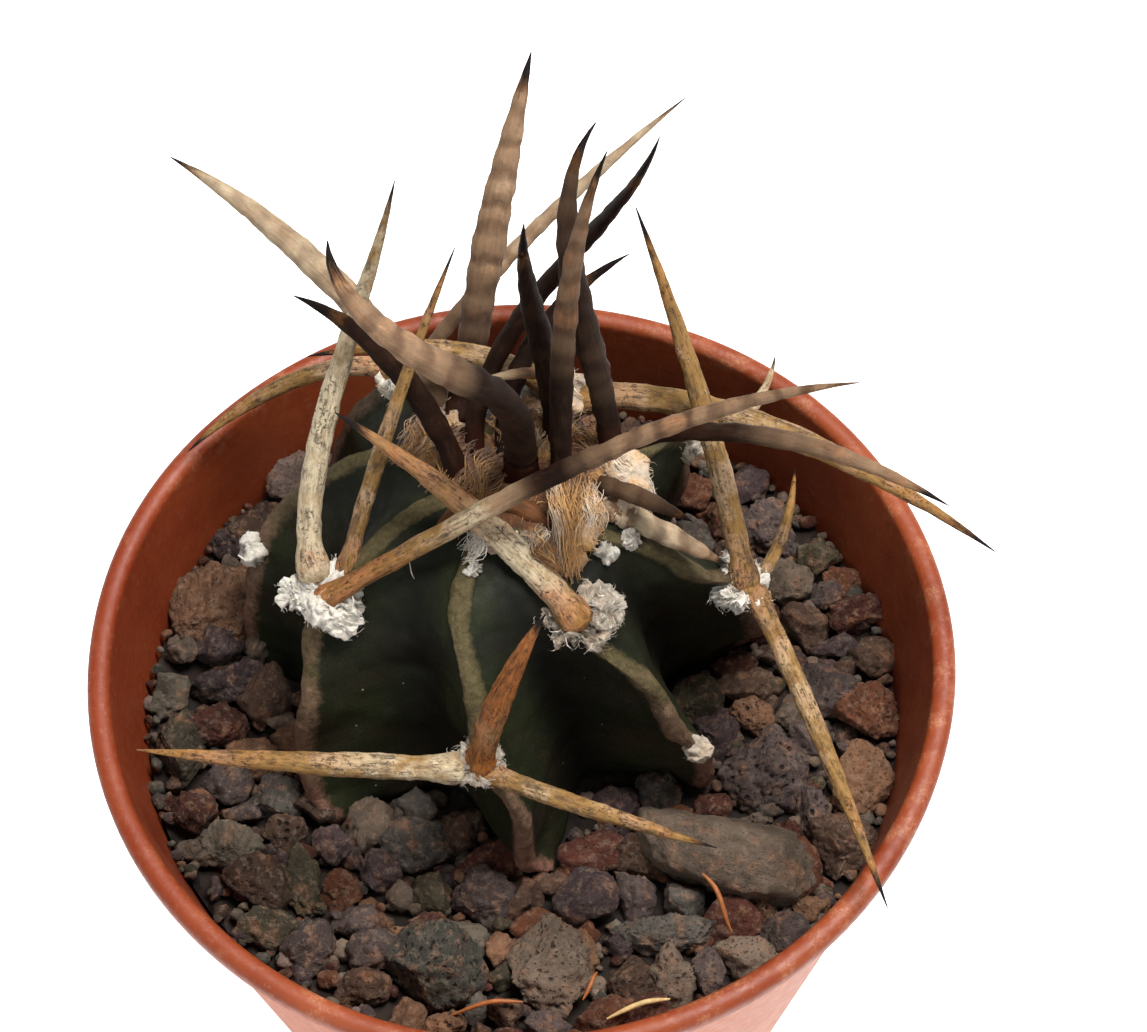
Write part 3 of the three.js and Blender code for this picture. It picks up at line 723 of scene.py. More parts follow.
def spineMaterial():
    newMaterial("spineHorn")
    look = spineLook
    names = ("along", "age", "ring", "pale", "rust", "red", "tipStart")
    along, age, ring, pale, rust, red, tip = (fact(name) for name in names)
    coat = fact("coatPlace", "Vector")
    grain = stretch(coat, (1.0, 1.0, 0.16))
    fibres = noise(grain, 4.2, 5, 0.7, 0.3)
    cloud, blotch = noise(coat, 0.55, 4, 0.6), noise(coat, 1.7, 4, 0.65)

    old = mixed(fit(pale + wander(cloud, 0.55), 0.15, 0.85), look["straw"], look["strawPale"])
    streaks = fit(fibres, 0.5, 0.62) * fit(blotch, 0.4, 0.6, 0.15, 0.75) * fit(pale, 0.2, 1.0, 1.0, 0.45)
    rustShare = fit(rust + wander(cloud, 0.4), 0.25, 0.9, 0.0, 0.9)
    rustTone = look["rust"] * fit(fibres, 0.35, 0.65, 1.5, 0.6)
    old = mixed(rustShare, mixed(streaks, old, look["streak"]), rustTone)
    old = old * patch(grain, 9.0, 3, 0.7, 0.3, 0.7, 0.75, 1.15)

    banded = fit(bandsAt(coat, look["bandRate"]), -0.4, 0.9) * fit(ring, 0.0, 1.0, 0.1, 1.0)
    banded = banded * fit(cloud, 0.35, 0.65, 0.45, 1.0)
    young = mixed(fit(pale + wander(cloud, 0.3), 0.3, 1.0, 0.0, 0.8), look["taupe"], look["strawPale"])
    young = mixed(banded * 0.9, mixed(rustShare * 0.75, young, rustTone), look["taupeBand"])
    young = young * fit(fibres, 0.3, 0.7, 1.12, 0.8)
    dark = mixed(fit(cloud, 0.45, 0.72, 0.0, 0.55), look["chocolate"], look["bloom"])
    dark = dark * fit(banded, 0.0, 1.0, 1.15, 0.7)
    color = mixed(fit(age, 0.48, 0.85), mixed(fit(age, 0.12, 0.36), old, young), dark)

    # Black specks and fissures along it, and short cracks across, most on the oldest spines
    stains = patch(stretch(coat, (1.0, 1.0, 0.3), (5.0, 4.0, 2.0)), 1.9, 5, 0.72, 0.52, 0.64)
    stains = stains * fit(age, 0.1, 0.4, 0.75, 0.15) * fit(pale, 0.3, 1.0, 1.0, 0.5)
    color = mixed(stains, color, look["stain"])
    fissures = patch(stretch(coat, (1.0, 1.0, 0.08), (3.0, 1.0, 7.0)), 5.6, 3, 0.6, 0.53, 0.6, 0.0, 0.8)
    cracks = patch(stretch(coat, (0.5, 0.5, 2.2), (8.0, 2.0, 1.0)), 3.0, 4, 0.75, 0.6, 0.66, 0.0, 0.35)
    dots = patch(coat, 5.6, 2, 0.6, 0.56, 0.62, 0.0, 0.9)
    specks = calc("MAXIMUM", calc("MAXIMUM", fissures, dots), cracks) * fit(blotch, 0.44, 0.56, 0.12, 1.0)
    specks = specks * fit(cloud, 0.4, 0.56, 0.35, 1.0) * fit(age, 0.1, 0.32, 1.0, 0.28)
    color = mixed(specks * 0.9, color, look["speck"])

    # A translucent red base on young ones, and a dark point on all
    color = mixed(red * fit(along, 0.02, 0.15, 1.0, 0.0), color, look["redBase"])
    point = fit(along + wander(fibres, 0.035) - tip, 0.0, 0.07)
    color = mixed(fit(point, 0.0, 0.5, 0.0, 0.5), color, look["streak"])
    return endMaterial(
        mixed(fit(point, 0.2, 1.0), color, look["tip"]), fit(age, 0.0, 1.0, 0.72, 0.6),
        bump(fibres - specks * 0.8, 0.07), specular=fit(age, 0.0, 1.0, 0.24, 0.08))


def spineTree(material):
    keys = ("sides", "flatness", "bandRate", "bandDepth", "wobble")
    sizes = newTree("spineSkins", {key: spineLook[key] for key in keys})
    curve = wire("GeometryNodeMeshToCurve", {"Mesh": sizes.geometry})
    curve = wire("GeometryNodeSetCurveNormal", {"Curve": curve}, mode="Z_UP")
    ring = store(ringOf(sizes.sides, 1.0), girth=position())
    oval = wire("GeometryNodeTransform", {"Geometry": ring, "Scale": vectorOf(1.0, sizes.flatness, 1.0)})
    half, seed = read("halfWidth"), read("spineSeed")
    coat = readVector("girth") * half + vectorOf(seed * 3.1, 0.0, seed * 7.7 + read("alongLength"))
    made = store(tube(curve, oval, half), coatPlace=coat)

    # Rings that stand out a little, and edges that wander
    place = readVector("coatPlace")
    rings = bandsAt(place, sizes.bandRate) * sizes.bandDepth * fit(read("ring"), 0.0, 1.0, 0.15, 1.0)
    wobble = wander(noise(place, 0.55, 3, 0.6), 1.0) * sizes.wobble
    rough = wander(noise(place, 2.8, 3, 0.65), 0.035)
    return endTree(pushOut(made, (wobble - rings + rough) * half), material)


def buildSpines():
    tree = spineTree(spineMaterial())
    for number, (label, (node, slot, areole, spines)) in enumerate(spineClusters.items()):
        paths = []
        for k, spine in enumerate(spines):
            points = spinePath(startOf(areole), spine)
            paths.append([(place, spineFacts(spine, i, number * 20 + k)) for i, place in enumerate(points)])
        piece = pathPiece(f"spines{label}", paths)
        runTree(piece, tree)
        finishPiece(piece, slot, node)


buildSpines()


# Wool: crumpled felt folded round each areole, with wisps, fine hairs and combed silky strands

woolLook = {
    "wispDensity": 0.25, "hairDensity": 4.5, "silkDensity": 5.5, "length": 1.0, "foldDepth": 0.6, "detail": 4,
    "seed": 4, "axisFrom": (-0.7, 5.5, 42.0), "fullSize": 2.8, "fineDetail": 5,
    "fineTufts": ("FrontLeft", "Front", "FrontRight", "Right"),
    "bareAreoles": {"Left": ("wool_left", (7, 0.37)), "LowRight": ("wool_low_right", (2, 0.29))},
    "white": linear(246, 239, 226), "grey": linear(146, 134, 116), "cream": linear(208, 158, 90),
    # ochre and grey are the warm and white wool in painted shade, cream and white in painted light; the last
    # colour is painted shade for creases
    "ochre": linear(100, 56, 20), "foldShade": linear(56, 42, 30),
}

# Rows are offset from the areole, size, how ochre the wool is, how bright, how silky, and how hollow round
# its spine
tufts = {
    "Crown": [
        ((0.2, -0.1, 0.1), (11.0, 9.2, 2.5), 0.95, 0.0, 0.5, 0),
        ((3.5, -3.7, 0.2), (2.6, 3.4, 2.3), 0.7, 0.75, 1, 0),
        ((2.9, -5.2, -0.5), (1.7, 3.4, 1.9), 0.9, 0.3, 1, 0),
        ((6.5, -0.8, -0.2), (3.2, 4.8, 2.8), 0.5, 1.2, 0.6, 0),
        ((2.2, 1.9, 0.6), (2.4, 3.0, 2.2), 0.75, 0.4, 0.8, 0),
        ((-4.3, 2.0, 0.0), (3.2, 3.2, 2.4), 0.8, 0.25, 0.8, 0),
        ((-0.7, -2.3, -0.2), (2.2, 1.8, 1.4), 0.75, 0.5, 0.9, 0),
        ((-1.4, -4.5, 0.2), (4.2, 1.9, 1.6), 0.5, 0.7, 0.8, 0),
        ((-3.9, 5.4, -0.2), (3.6, 3.6, 2.2), 0.55, 0.4, 0.6, 0),
        ((3, 6.4, -0.5), (3.8, 3.4, 2.6), 0.45, 0.5, 0.4, 0),
        ((0.4, 4.2, 0.3), (3.0, 2.8, 2.2), 0.75, 0.4, 0.7, 0),
        ((1.3, -3.9, -0.5), (2.2, 1.8, 1.2), 0.9, 0.1, 1, 0),
        ((5.3, -2.1, 0.0), (2.2, 2.2, 1.9), 0.65, 0.4, 0.9, 0),
        ((4.2, -3.0, 0.4), (1.8, 2.0, 1.8), 0.85, 0.2, 1, 0),
        ((5.0, -5.1, -0.5), (1.35, 1.3, 1.2), 0.1, 0.9, 0, 0),
        ((6.7, -4.6, -0.4), (1.2, 1.2, 1.1), 0.1, 0.8, 0, 0),
        ((-3.0, -6.3, 0.3), (1.1, 1.1, 1.0), 0.1, 0.8, 0, 0),
    ],
    "FrontLeft": [
        ((0, 0.1, -0.2), (4.4, 3.8, 1.6), 0.05, 1.65, 0, 0.4),
        ((-1.6, 0.4, -0.5), (2.8, 2.6, 1.4), 0, 1.65, 0, 0),
        ((0.5, -1.3, -0.9), (2.9, 2.2, 1.3), 0.1, 1.6, 0, 0),
    ],
    "Front": [((0, 0, -0.3), (3.2, 2.5, 1.9), 0.25, 0.35, 0.2, 0.2)],
    "FrontRight": [
        ((0.3, 0.0, -0.6), (4.5, 3.9, 1.7), 0.36, 0.4, 0.2, 0.5),
        ((1.7, 0.4, 0.0), (2.0, 3.2, 1.8), 0.3, 0.45, 0.2, 0),
    ],
    "Right": [
        ((-0.1, -0.3, -0.4), (3.3, 3.0, 1.9), 0.12, 0.9, 0.3, 1),
        ((-0.6, 1.2, 0.5), (0.9, 0.9, 2.4), 0.05, 1.0, 0.2, 0),
    ],
    "BackRight": [((0, 0, -0.2), (2.6, 2.6, 1.9), 0.3, 0.7, 0.2, 0.3)],
    "BackLeft": [((0, 0, -0.2), (3.0, 3.0, 1.9), 0.2, 0.7, 0.2, 0.3)],
    "Left": [((0, 0, 0.1), (1.7, 1.9, 2.3), 0.1, 0.85, 0, 0)],
    "LowRight": [((0, 0, -0.1), (1.4, 1.6, 1.1), 0.35, 0.5, 0, 0)],
}

# What the strands are: density input, then length, half width, flatness, sides, steps and how wide the tip
# is, how far they lean out from the tuft's axis, round it and astray, how dense they are on plain and on
# silky wool, how far they stand off the felt, and the number that their random draws start from
strandKinds = (
    ("wispDensity", (1.0, 0.13, 0.3, 6, 6, 0.4), (0.8, 0.7, 0.6), (1.0, 0.2), 0.6, 11),
    ("hairDensity", (0.8, 0.018, 1.0, 3, 5, 0.5), (0.7, 1.2, 0.6), (1.0, 0.35), 0.55, 29),
    ("silkDensity", (1.5, 0.05, 0.8, 4, 6, 0.4), (1.1, 0.15, 0.25), (0.0, 1.0), 0.3, 47),
)


def woolMaterial():
    newMaterial("areoleWool")
    look, here = woolLook, objectPlace()
    cloud = wander(noise(here, 0.7, 4, 0.6), 0.3)
    fibres = noise(fact("fibrePlace", "Vector"), 2.4, 5, 0.7)
    # Painted light and shade: light adds random tone to the shade of creases, hollows and strand roots, and
    # the ramps below turn it into grey or ochre in shade, white or cream in light
    light = cloud * 0.6 + fact("strand") + fit(fact("bright"), -1.0, 2.0, -1.35, 1.05) + wander(fibres, 0.3)
    white = mixed(fit(light, 0.0, 0.8), look["grey"], look["white"])
    warm = mixed(fit(light, -0.1, 0.8), look["ochre"], look["cream"])
    color = mixed(fit(fact("ochre") + cloud * 0.7, 0.2, 0.8), white, warm)
    # Painted shade where the lightness is lowest, in the creases
    color = mixed(fit(light, -0.15, -0.7, 0.0, 0.75), color, look["foldShade"])
    return endMaterial(
        color, 0.9, bump(fibres, 0.14, bump(noise(here, 6.0, 4, 0.7), 0.06)),
        sheen=0.25, soft=0.15, softRadius=(0.0006, 0.0005, 0.0004))


def strandShape(long, thickness, flatness, sides, steps, tipShare):
    bend = wire("GeometryNodeCurveQuadraticBezier", {
        "Resolution": steps, "Start": (0, 0, -0.2), "Middle": (0.16 * long, 0, 0.7 * long),
        "End": (0.5 * long, 0.12 * long, 0.85 * long)})
    ring = wire("GeometryNodeTransform", {"Geometry": ringOf(sides, thickness), "Scale": (1, flatness, 1)})
    return tube(bend, ring, fit(wire("GeometryNodeSplineParameter"), 0.2, 1.0, 1.0, tipShare))


def chance(low, high, salt):  # a random value for each strand
    kind, first = ("FLOAT_VECTOR", 0) if isVector(low) else ("FLOAT", 2)
    inputs = {first: low, first + 1: high, "Seed": salt}
    return wire("FunctionNodeRandomValue", inputs, first // 2, data_type=kind)


def woolTree(material):
    keys = ("wispDensity", "hairDensity", "silkDensity", "length", "foldDepth", "detail", "seed")
    sizes = newTree("woolTufts", {key: woolLook[key] for key in keys})
    spot, tuftSize, tuftScale, silk = position(), readVector("tuftSize"), read("tuftScale"), read("silk")
    ball = wire("GeometryNodeMeshIcoSphere", {"Radius": 0.5, "Subdivisions": sizes.detail})
    core = realized(spread(store(sizes.geometry, middle=spot), ball, Scale=tuftSize))

    # Folds that run out from the areole's axis, like a ruff, on lumps that don't
    axis, middle = readVector("tuftAxis"), readVector("middle")
    away = spot - middle
    outward, above = calc("LENGTH", away / tuftSize), calc("DOT_PRODUCT", away, axis)
    aside = away - axis * above
    radial = calc("NORMALIZE", aside)
    fold = abs(fit(noise(radial * 1.5 + spot * 0.55, 0.95, 1, 0.5, 0.4), 0.32, 0.68, -1.0, 1.0))
    fibrePlace = radial * 6.0 + spot * 1.1
    fibres, lumps = wander(noise(fibrePlace, 1.4, 3, 0.65), 1.0), wander(noise(spot, 0.7), 1.0)
    folds = fit(fold, 0.0, 1.0, 0.6, -0.6) * fit(silk, 0, 1, 1.0, 0.35) + fibres * 0.16 + lumps * 0.7

    # Each collar sinks towards the spine that it stands round
    near = fit(calc("LENGTH", aside) / tuftSize.part("X"), 0.08, 0.34, 1.0, 0.0, "SMOOTHSTEP")
    sunk = read("hollow") * near * fit(above, 0.0, 0.3)
    core = pushOut(core, folds * sizes.foldDepth * tuftScale - sunk * tuftSize.part("Z") * 0.5)
    # Painted shade: the felt's tone darkens in its creases and in the hollow round each spine, over fibres
    # that vary at random
    toneAndCreaseShade = fit(folds, -0.7, 0.7, 0.1, 0.7) + fibres * 0.22 - sunk * 0.5
    core = store(core, strand=toneAndCreaseShade, fibrePlace=fibrePlace)

    layers = [core]
    for density, shape, (lean, swirl, stray), shares, lift, salt in strandKinds:
        spots = addNode("GeometryNodeDistributePointsOnFaces", {
            "Mesh": core, "Density": getattr(sizes, density) * fit(silk, 0.0, 1.0, *shares),
            "Seed": sizes.seed + float(salt)})
        aim = Wire(spots.outputs["Normal"]) * 0.4 + radial * lean
        aim = aim + calc("CROSS_PRODUCT", axis, radial) * swirl + chance((-stray,) * 3, (stray,) * 3, salt)
        facing = wire("FunctionNodeAlignRotationToVector", {"Vector": aim}, axis="Z")
        spin = wire("FunctionNodeEulerToRotation", {"Euler": vectorOf(0.0, 0.0, chance(-3.1, 3.1, salt + 3))})
        turned = {"Rotation": facing, "Rotate By": spin}
        placed = spread(
            store(Wire(spots.outputs[0]), rootReach=outward), strandShape(*shape),
            Rotation=wire("FunctionNodeRotateRotation", turned, rotation_space="LOCAL"),
            Scale=chance(0.45, 1.1, salt + 1) * sizes.length * tuftScale)
        loose = realized(store(placed, "INSTANCE", strand=chance(0.35, 0.9, salt + 2)))
        held = fit(lift, 0.0, 1.0, read("rootReach"), outward) / outward
        layers.append(setPlace(loose, middle + away * held))
    joined = addNode("GeometryNodeJoinGeometry")
    for layer in reversed(layers):
        plug(joined.inputs[0], layer)
    crinkle = (noise(spot, 1.6, output="Color") - (0.5, 0.5, 0.5)) * 0.7  # along each strand
    return endTree(shifted(Wire(joined.outputs[0]), crinkle), material)


def buildWool():
    look, tree = woolLook, woolTree(woolMaterial())
    names = ("ochre", "bright", "silk", "hollow")
    for number, (label, rows) in enumerate(tufts.items()):
        if label in look["bareAreoles"]:
            node, areole = look["bareAreoles"][label]
        else:
            node, _, areole, _ = spineClusters[label]
        places = [startOf(areole) + Vector(row[0]) for row in rows]
        piece = pointPiece(f"wool{label}", places, {
            "tuftSize": [row[1] for row in rows],
            "tuftAxis": [tuple((place - Vector(look["axisFrom"])).normalized()) for place in places],
            "tuftScale": [min(1.0, min(row[1][:2]) / look["fullSize"]) for row in rows],
            **{name: [row[2 + k] for row in rows] for k, name in enumerate(names)}})
        detail = look["fineDetail"] if label in look["fineTufts"] else look["detail"]
        runTree(piece, tree, seed=look["seed"] + number, detail=detail)
        finishPiece(piece, "wool", node)


buildWool()


# Silk in the crown, combed in locks

silkLook = {
    "seed": 8, "steps": 8, "sides": 3, "halfWidth": 0.032, "lift": (1.35, 0.2), "arch": 0.4, "spread": 7.0,
    "curl": 0.9, "strandsInTuft": 22, "looseness": 0.7, "drawnIn": 0.25, "ripple": 0.22,
}
# Rows are from and to a place off the crown's middle, width at each, strands, how ochre and how bright
locks = [
    ((3.0, 0.4), (2.8, -7.2), 2.2, 1.0, 260, 0.85, 0.65),
    ((1.7, -4.7), (2.3, -7.4), 1.8, 1.1, 110, 0.95, 0.4),
    ((0.4, -4.4), (0.9, -6.6), 2.2, 1.4, 70, 0.55, 0.9), ((3.9, -1.2), (4.0, -5.4), 1.6, 1.4, 90, 0.4, 1.1),
    ((5.6, 2.2), (8.4, -3.0), 2.6, 2.0, 150, 0.45, 1.0), ((4.2, 3.2), (7.0, 0.6), 2.6, 2.4, 90, 0.8, 0.6),
    ((-4.2, 4.6), (-7.0, 1.4), 3.0, 2.6, 140, 0.9, 0.4), ((1.2, 4.6), (1.0, 0.4), 4.4, 3.6, 200, 0.9, 0.45),
    ((-1.6, 1.6), (-4.8, -2.2), 4.0, 4.0, 180, 0.95, 0.35),
    ((-1.4, -3.4), (-4.0, -5.4), 1.8, 1.6, 100, 0.4, 1.0),
    ((-2.4, 6.0), (-4.6, 8.4), 3.0, 2.6, 70, 0.6, 0.5), ((2.2, 6.4), (3.6, 9.2), 3.6, 3.0, 70, 0.5, 0.7),
]


def crownHeight(x, y):  # how high the dome is at x, y near its top
    rings = [domeRing(i / 30) for i in range(30, 5, -1)]
    away = math.hypot(x - bodyLook["top"][0], y - bodyLook["top"][1])
    return float(np.interp(away, [radius for radius, _ in rings], [height for _, height in rings]))


def strandTree(name, sides, material):  # thin round strands along the edges of a piece
    sizes = newTree(name, {"sides": sides})
    curve = wire("GeometryNodeMeshToCurve", {"Mesh": sizes.geometry})
    return endTree(tube(curve, ringOf(sizes.sides, 1.0), read("halfWidth")), material)


def buildSilk():
    look, luck, middle, paths = silkLook, random.Random(silkLook["seed"]), spineLook["crownMiddle"], []
    for first, last, wide, narrow, strands, ochre, bright in locks:
        side = (Vector(last) - Vector(first)).orthogonal().normalized()
        for strand in range(strands):
            if strand % look["strandsInTuft"] == 0:  # strands draw together in tufts, each with its own curl
                tuft, curl = luck.uniform(-0.5, 0.5), luck.uniform(-1, 1) * look["curl"]
                late, raised = luck.uniform(0.65, 1.1), luck.uniform(-0.2, 0.35)
                warm = luck.uniform(-0.25, 0.25)
            aside = tuft + luck.uniform(-0.5, 0.5) * look["looseness"]
            early, end, tone = luck.uniform(0, 0.35), late * luck.uniform(0.75, 1), luck.uniform(0.2, 0.75)
            wave, stray = luck.uniform(-1, 1), luck.uniform(-0.25, 0.25)
            path = []
            for i in range(look["steps"] + 1):
                share = i / look["steps"]
                along = blend(early, end, share)
                off = blend(aside, tuft + look["drawnIn"] * (aside - tuft), share)
                off *= blend(wide, narrow, along)
                ripple = look["ripple"] * math.sin(share * 7 + wave * 3)
                bend = curl * math.sin(share * 3.2 + curl * 5) * share + ripple + stray * share
                flat = Vector(first).lerp(Vector(last), along) + side * (off + bend)
                x, y = flat.x + middle[0], flat.y + middle[1]
                lift = blend(*look["lift"], min(1.0, flat.length / look["spread"])) + raised + 0.15 * wave
                lift += look["arch"] * math.sin(math.pi * share)
                # strand darkens each strand towards its root, a painted shade where it goes into the wool
                path.append(((x, y, crownHeight(x, y) + lift), {
                    "halfWidth": look["halfWidth"] * (1.1 - 0.7 * share ** 2), "ochre": ochre + warm,
                    "strand": blend(-0.2, tone, min(1, 2.5 * share)), "bright": bright,
                    "fibrePlace": (aside * 9, share * 3, curl * 5)}))
            paths.append(path)
    piece = pathPiece("silkCrown", paths)
    runTree(piece, strandTree("silkLocks", look["sides"], bpy.data.materials["areoleWool"]))
    finishPiece(piece, "wool", "crown")


buildSilk()


# Loose bits: dry needles on the gravel and a stray hair of wool, each by its two ends, rise, width and tone

bitLook = {
    "steps": 16, "sides": 8,
    "needle": linear(160, 92, 44), "straw": linear(204, 172, 116), "hair": linear(226, 214, 196),
}
looseBits = [
    ((10.5, -13.9, 43.2), (12.2, -17.2, 41.6), 0.5, 0.34, "needle"),
    ((-5.6, -21.6, 41.6), (-1.0, -21.3, 42.4), 0.6, 0.32, "needle"),
    ((2.5, -21.3, 41.9), (3.6, -19.5, 42.0), 0.3, 0.3, "needle"),
    ((3.9, -22.7, 42.0), (8.0, -21.5, 41.8), 0.5, 0.36, "straw"),
    ((-6.9, 1.7, 57.4), (-6.0, 0.6, 57.0), 0.5, 0.07, "hair"),
]


def bitMaterial():
    newMaterial("dryNeedle")
    streaks = patch(objectPlace(), 2.2, 4, 0.7, 0.3, 0.7, 0.6, 1.25)
    return endMaterial(fact("tone", "Color") * streaks, 0.6, None)


def buildLooseBits():
    paths = []
    for first, last, rise, width, tone in looseBits:
        path = []
        for i in range(bitLook["steps"] + 1):
            share = i / bitLook["steps"]
            sway = Vector((0.3 * math.sin(share * 5), 0.2 * math.sin(share * 4), math.sin(share * math.pi)))
            half = width / 2 * (1 - 0.7 * abs(2 * share - 1) ** 3)
            place = Vector(first).lerp(Vector(last), share) + sway * rise
            path.append((place, {"halfWidth": half, "tone": (*bitLook[tone], 1)}))
        paths.append(path)
    piece = pathPiece("looseBits", paths)
    runTree(piece, strandTree("looseBits", bitLook["sides"], bitMaterial()))
    finishPiece(piece, "wool")


buildLooseBits()


# Gravel: lava stones by place, size and tone, then smaller ones wherever there is room, and grit between

gravelLook = {
    "bedTop": 39.2, "bedSlope": 0.03, "bedRise": 1.2, "flatRadius": 16.0, "wallRadius": 25.0, "soilTop": 36.8,
    "gap": 0.35, "detail": 4, "cuts": 9, "cutDepth": 0.42, "roughness": 1.0, "seed": 12, "slabTurn": -0.6,
    "ribReach": 24,
    "fillSizes": (3.6, 3.0, 2.4, 1.9, 1.5, 1.2), "fillTries": 700, "fillRadius": 24.6, "shade": 0.41,
    "leftShade": 0.012, "lift": 0.2, "grit": 900, "gritRadius": 25.5, "gritLift": 0.35, "gritDetail": 2,
    "fillTones": "purple mauve brown brown grey red olive tan orange beige purple".split(),
    # hole is painted shade inside the stones' pits
    "warm": linear(150, 100, 68), "dust": linear(160, 142, 124), "hole": linear(34, 26, 24),
}
# Groups of stones by name, with the width that they are over, and their detail and swell
stoneGroups = (("gravelLarge", 4.25, 5, 1.1), ("gravelStones", 2.2, 4, 1.16), ("gravelSmall", 0, 3, 1.2))
tones = {
    "tan": linear(206, 150, 112), "purple": linear(120, 96, 96), "pale": linear(178, 164, 142),
    "grey": linear(142, 132, 122), "red": linear(132, 74, 58), "olive": linear(118, 106, 82),
    "mauve": linear(140, 118, 112), "orange": linear(156, 94, 64), "brown": linear(134, 100, 80),
    "green": linear(110, 106, 94), "beige": linear(184, 158, 136), "stone": linear(178, 154, 132),
    "pink": linear(218, 186, 170),
}
# Each row is x, y, width, depth, tone and how full of pits it is
largeStones = [
    (-21.6, 9.6, 6.3, 6.6, "tan", 0.3), (-20, 5.8, 3.9, 3.3, "purple", 0.3),
    (-23.6, 2.5, 2.8, 3.2, "pale", 0), (-20.2, 0.3, 4.7, 3.2, "red", 0.3),
    (-22.6, -1.5, 3.7, 5.4, "olive", 0.1), (-19.5, -4.1, 3.2, 3.5, "mauve", 0.2),
    (-16.5, -5.2, 3.8, 3.5, "grey", 0.2), (-21.6, -6.6, 3.2, 3.2, "red", 0.3),
    (-19.6, -9.1, 4.7, 3.7, "pale", 0.1), (-17.6, -11.9, 4.2, 3.8, "brown", 0.6),
    (-16.8, -14.7, 3.8, 2.8, "olive", 0.1), (-14.8, -11.2, 2.5, 4.4, "olive", 0),
    (-14.3, -15.9, 3.2, 3.8, "mauve", 0.2), (-12.2, -11.8, 2.8, 2.7, "orange", 0.1),
    (-13.1, -8.7, 3.2, 2.5, "purple", 0.1), (-10, -10.8, 2.8, 2.8, "purple", 0.1),
    (-11.6, -14.4, 3.2, 2.5, "mauve", 0.1), (-10, -16.6, 3.7, 3.2, "mauve", 0.2),
    (-11.4, -19, 3.8, 2.8, "brown", 0.3), (-7.4, -9.1, 4.7, 3.5, "grey", 0.2),
    (-6.9, -12.5, 2.8, 3.3, "olive", 0.1), (-6.8, -18.5, 6.3, 6, "green", 0.9),
    (-3.7, -12.9, 4.6, 4.2, "mauve", 0.2), (-4.9, -15.6, 3.5, 2.5, "pale", 0.1),
    (-2.7, -16.3, 1.9, 2.7, "tan", 0), (0.3, -18.5, 5.3, 7.1, "beige", 0.6),
    (2.7, -17.5, 1.9, 3.5, "tan", 0.1), (3, -13.2, 3.9, 4.2, "purple", 0.2),
    (3.7, -10.1, 3.8, 2.8, "red", 0.1), (6.1, -13.4, 2.8, 3.9, "mauve", 0.1),
    (8.9, -14.2, 3.2, 2.9, "grey", 0.1), (7.6, -16.5, 7.5, 2.7, "grey", 0.4),
    (5.5, -19.2, 2.7, 3.9, "brown", 0.4), (7.9, -19.6, 3.3, 3.9, "beige", 0.5),
    (10.2, -19.2, 2.5, 2.9, "mauve", 0.3), (12.8, -18.6, 4.1, 3, "beige", 0.4),
    (12.2, -11.3, 11.4, 6.6, "stone", 0.1), (-0.2, -22.2, 3.8, 1.9, "mauve", 0.2),
    (15.3, -4.8, 5.3, 6.3, "mauve", 0.9), (17.9, -9, 2.8, 4.9, "mauve", 0.6),
    (12.3, -2.1, 2.7, 3.5, "purple", 0.2), (14.5, 1.2, 4.1, 2.7, "brown", 0.2),
    (19.7, 0.2, 3.9, 3.9, "mauve", 0.4), (22.6, -1.6, 4.4, 4.1, "orange", 0.3),
    (21.4, -6.6, 4.1, 5.8, "tan", 0.3), (19.8, -11.5, 5.1, 4.2, "brown", 0.3),
    (22, 6, 4.4, 3.2, "red", 0.2), (23, 9, 2.7, 2, "orange", 0.1), (19.8, 10.5, 3.4, 2.8, "olive", 0.1),
    (18.8, 5.2, 3.2, 3.2, "brown", 0.3), (17.2, 12.7, 3.4, 4.4, "mauve", 0.3),
    (16.4, 17, 3.8, 3.2, "purple", 0.2), (15, -16.7, 3.5, 2.8, "mauve", 0.3),
    (-14.2, 19.6, 5.8, 4.2, "pink", 0.2), (-18.1, 16, 3.8, 3.3, "brown", 0.2),
    (22.8, 2.6, 3.8, 2.8, "brown", 0.3), (17.6, 2.6, 2.5, 2.5, "purple", 0.2),
]


def bedHeight(x, y):
    look = gravelLook
    away = (math.hypot(x, y) - look["flatRadius"]) / (look["wallRadius"] - look["flatRadius"])
    return look["bedTop"] - look["bedSlope"] * x + look["bedRise"] * max(0.0, away)


def bodyReach(x, y):  # how far the ribs reach at the gravel's level, towards x, y
    turn = math.degrees(math.atan2(y - bodyLook["foot"][1], x - bodyLook["foot"][0]))
    nearest = min(abs((turn - rib + 180) % 360 - 180) for rib in bodyLook["ribTurns"])
    flank = math.sin(min(1.0, nearest / gravelLook["ribReach"]) * math.pi / 2) ** bodyLook["valleyEase"]
    return domeRing(0.08)[0] * (1 - bodyLook["valleyLow"] * flank)


def clearOfBody(x, y, reach):
    return math.hypot(x - bodyLook["foot"][0], y - bodyLook["foot"][1]) > bodyReach(x, y) + reach


def stoneMaterial():
    newMaterial("lavaStone")
    look, tone, pits, grain = gravelLook, fact("tone", "Color"), fact("pits"), fact("grain", "Vector")
    color = tone * patch(grain, 0.5, 5, 0.65, 0.35, 0.68, 0.62, 1.12)
    color = mixed(patch(grain, 0.9, 3, 0.6, 0.52, 0.7, 0.0, 0.5), color, look["warm"])
    color = mixed(patch(grain, 1.8, 6, 0.75, 0.5, 0.72, 0.0, 0.5), color, look["dust"])
    bubbles = fit(cells(grain, 1.5), 0.3, 0.16) * fit(pits, 0.1, 0.7)
    small = fit(cells(grain, 3.6), 0.26, 0.12) * fit(pits, 0.0, 0.5, 0.15, 0.9)
    holes = calc("MAXIMUM", bubbles, small)
    relief = noise(grain, 2.6, 6, 0.75) - holes * 0.9
    # Painted shade: the pits darkened towards near black
    return endMaterial(mixed(holes * 0.85, color, look["hole"]), 0.88, bump(relief, 0.34), specular=0.3)


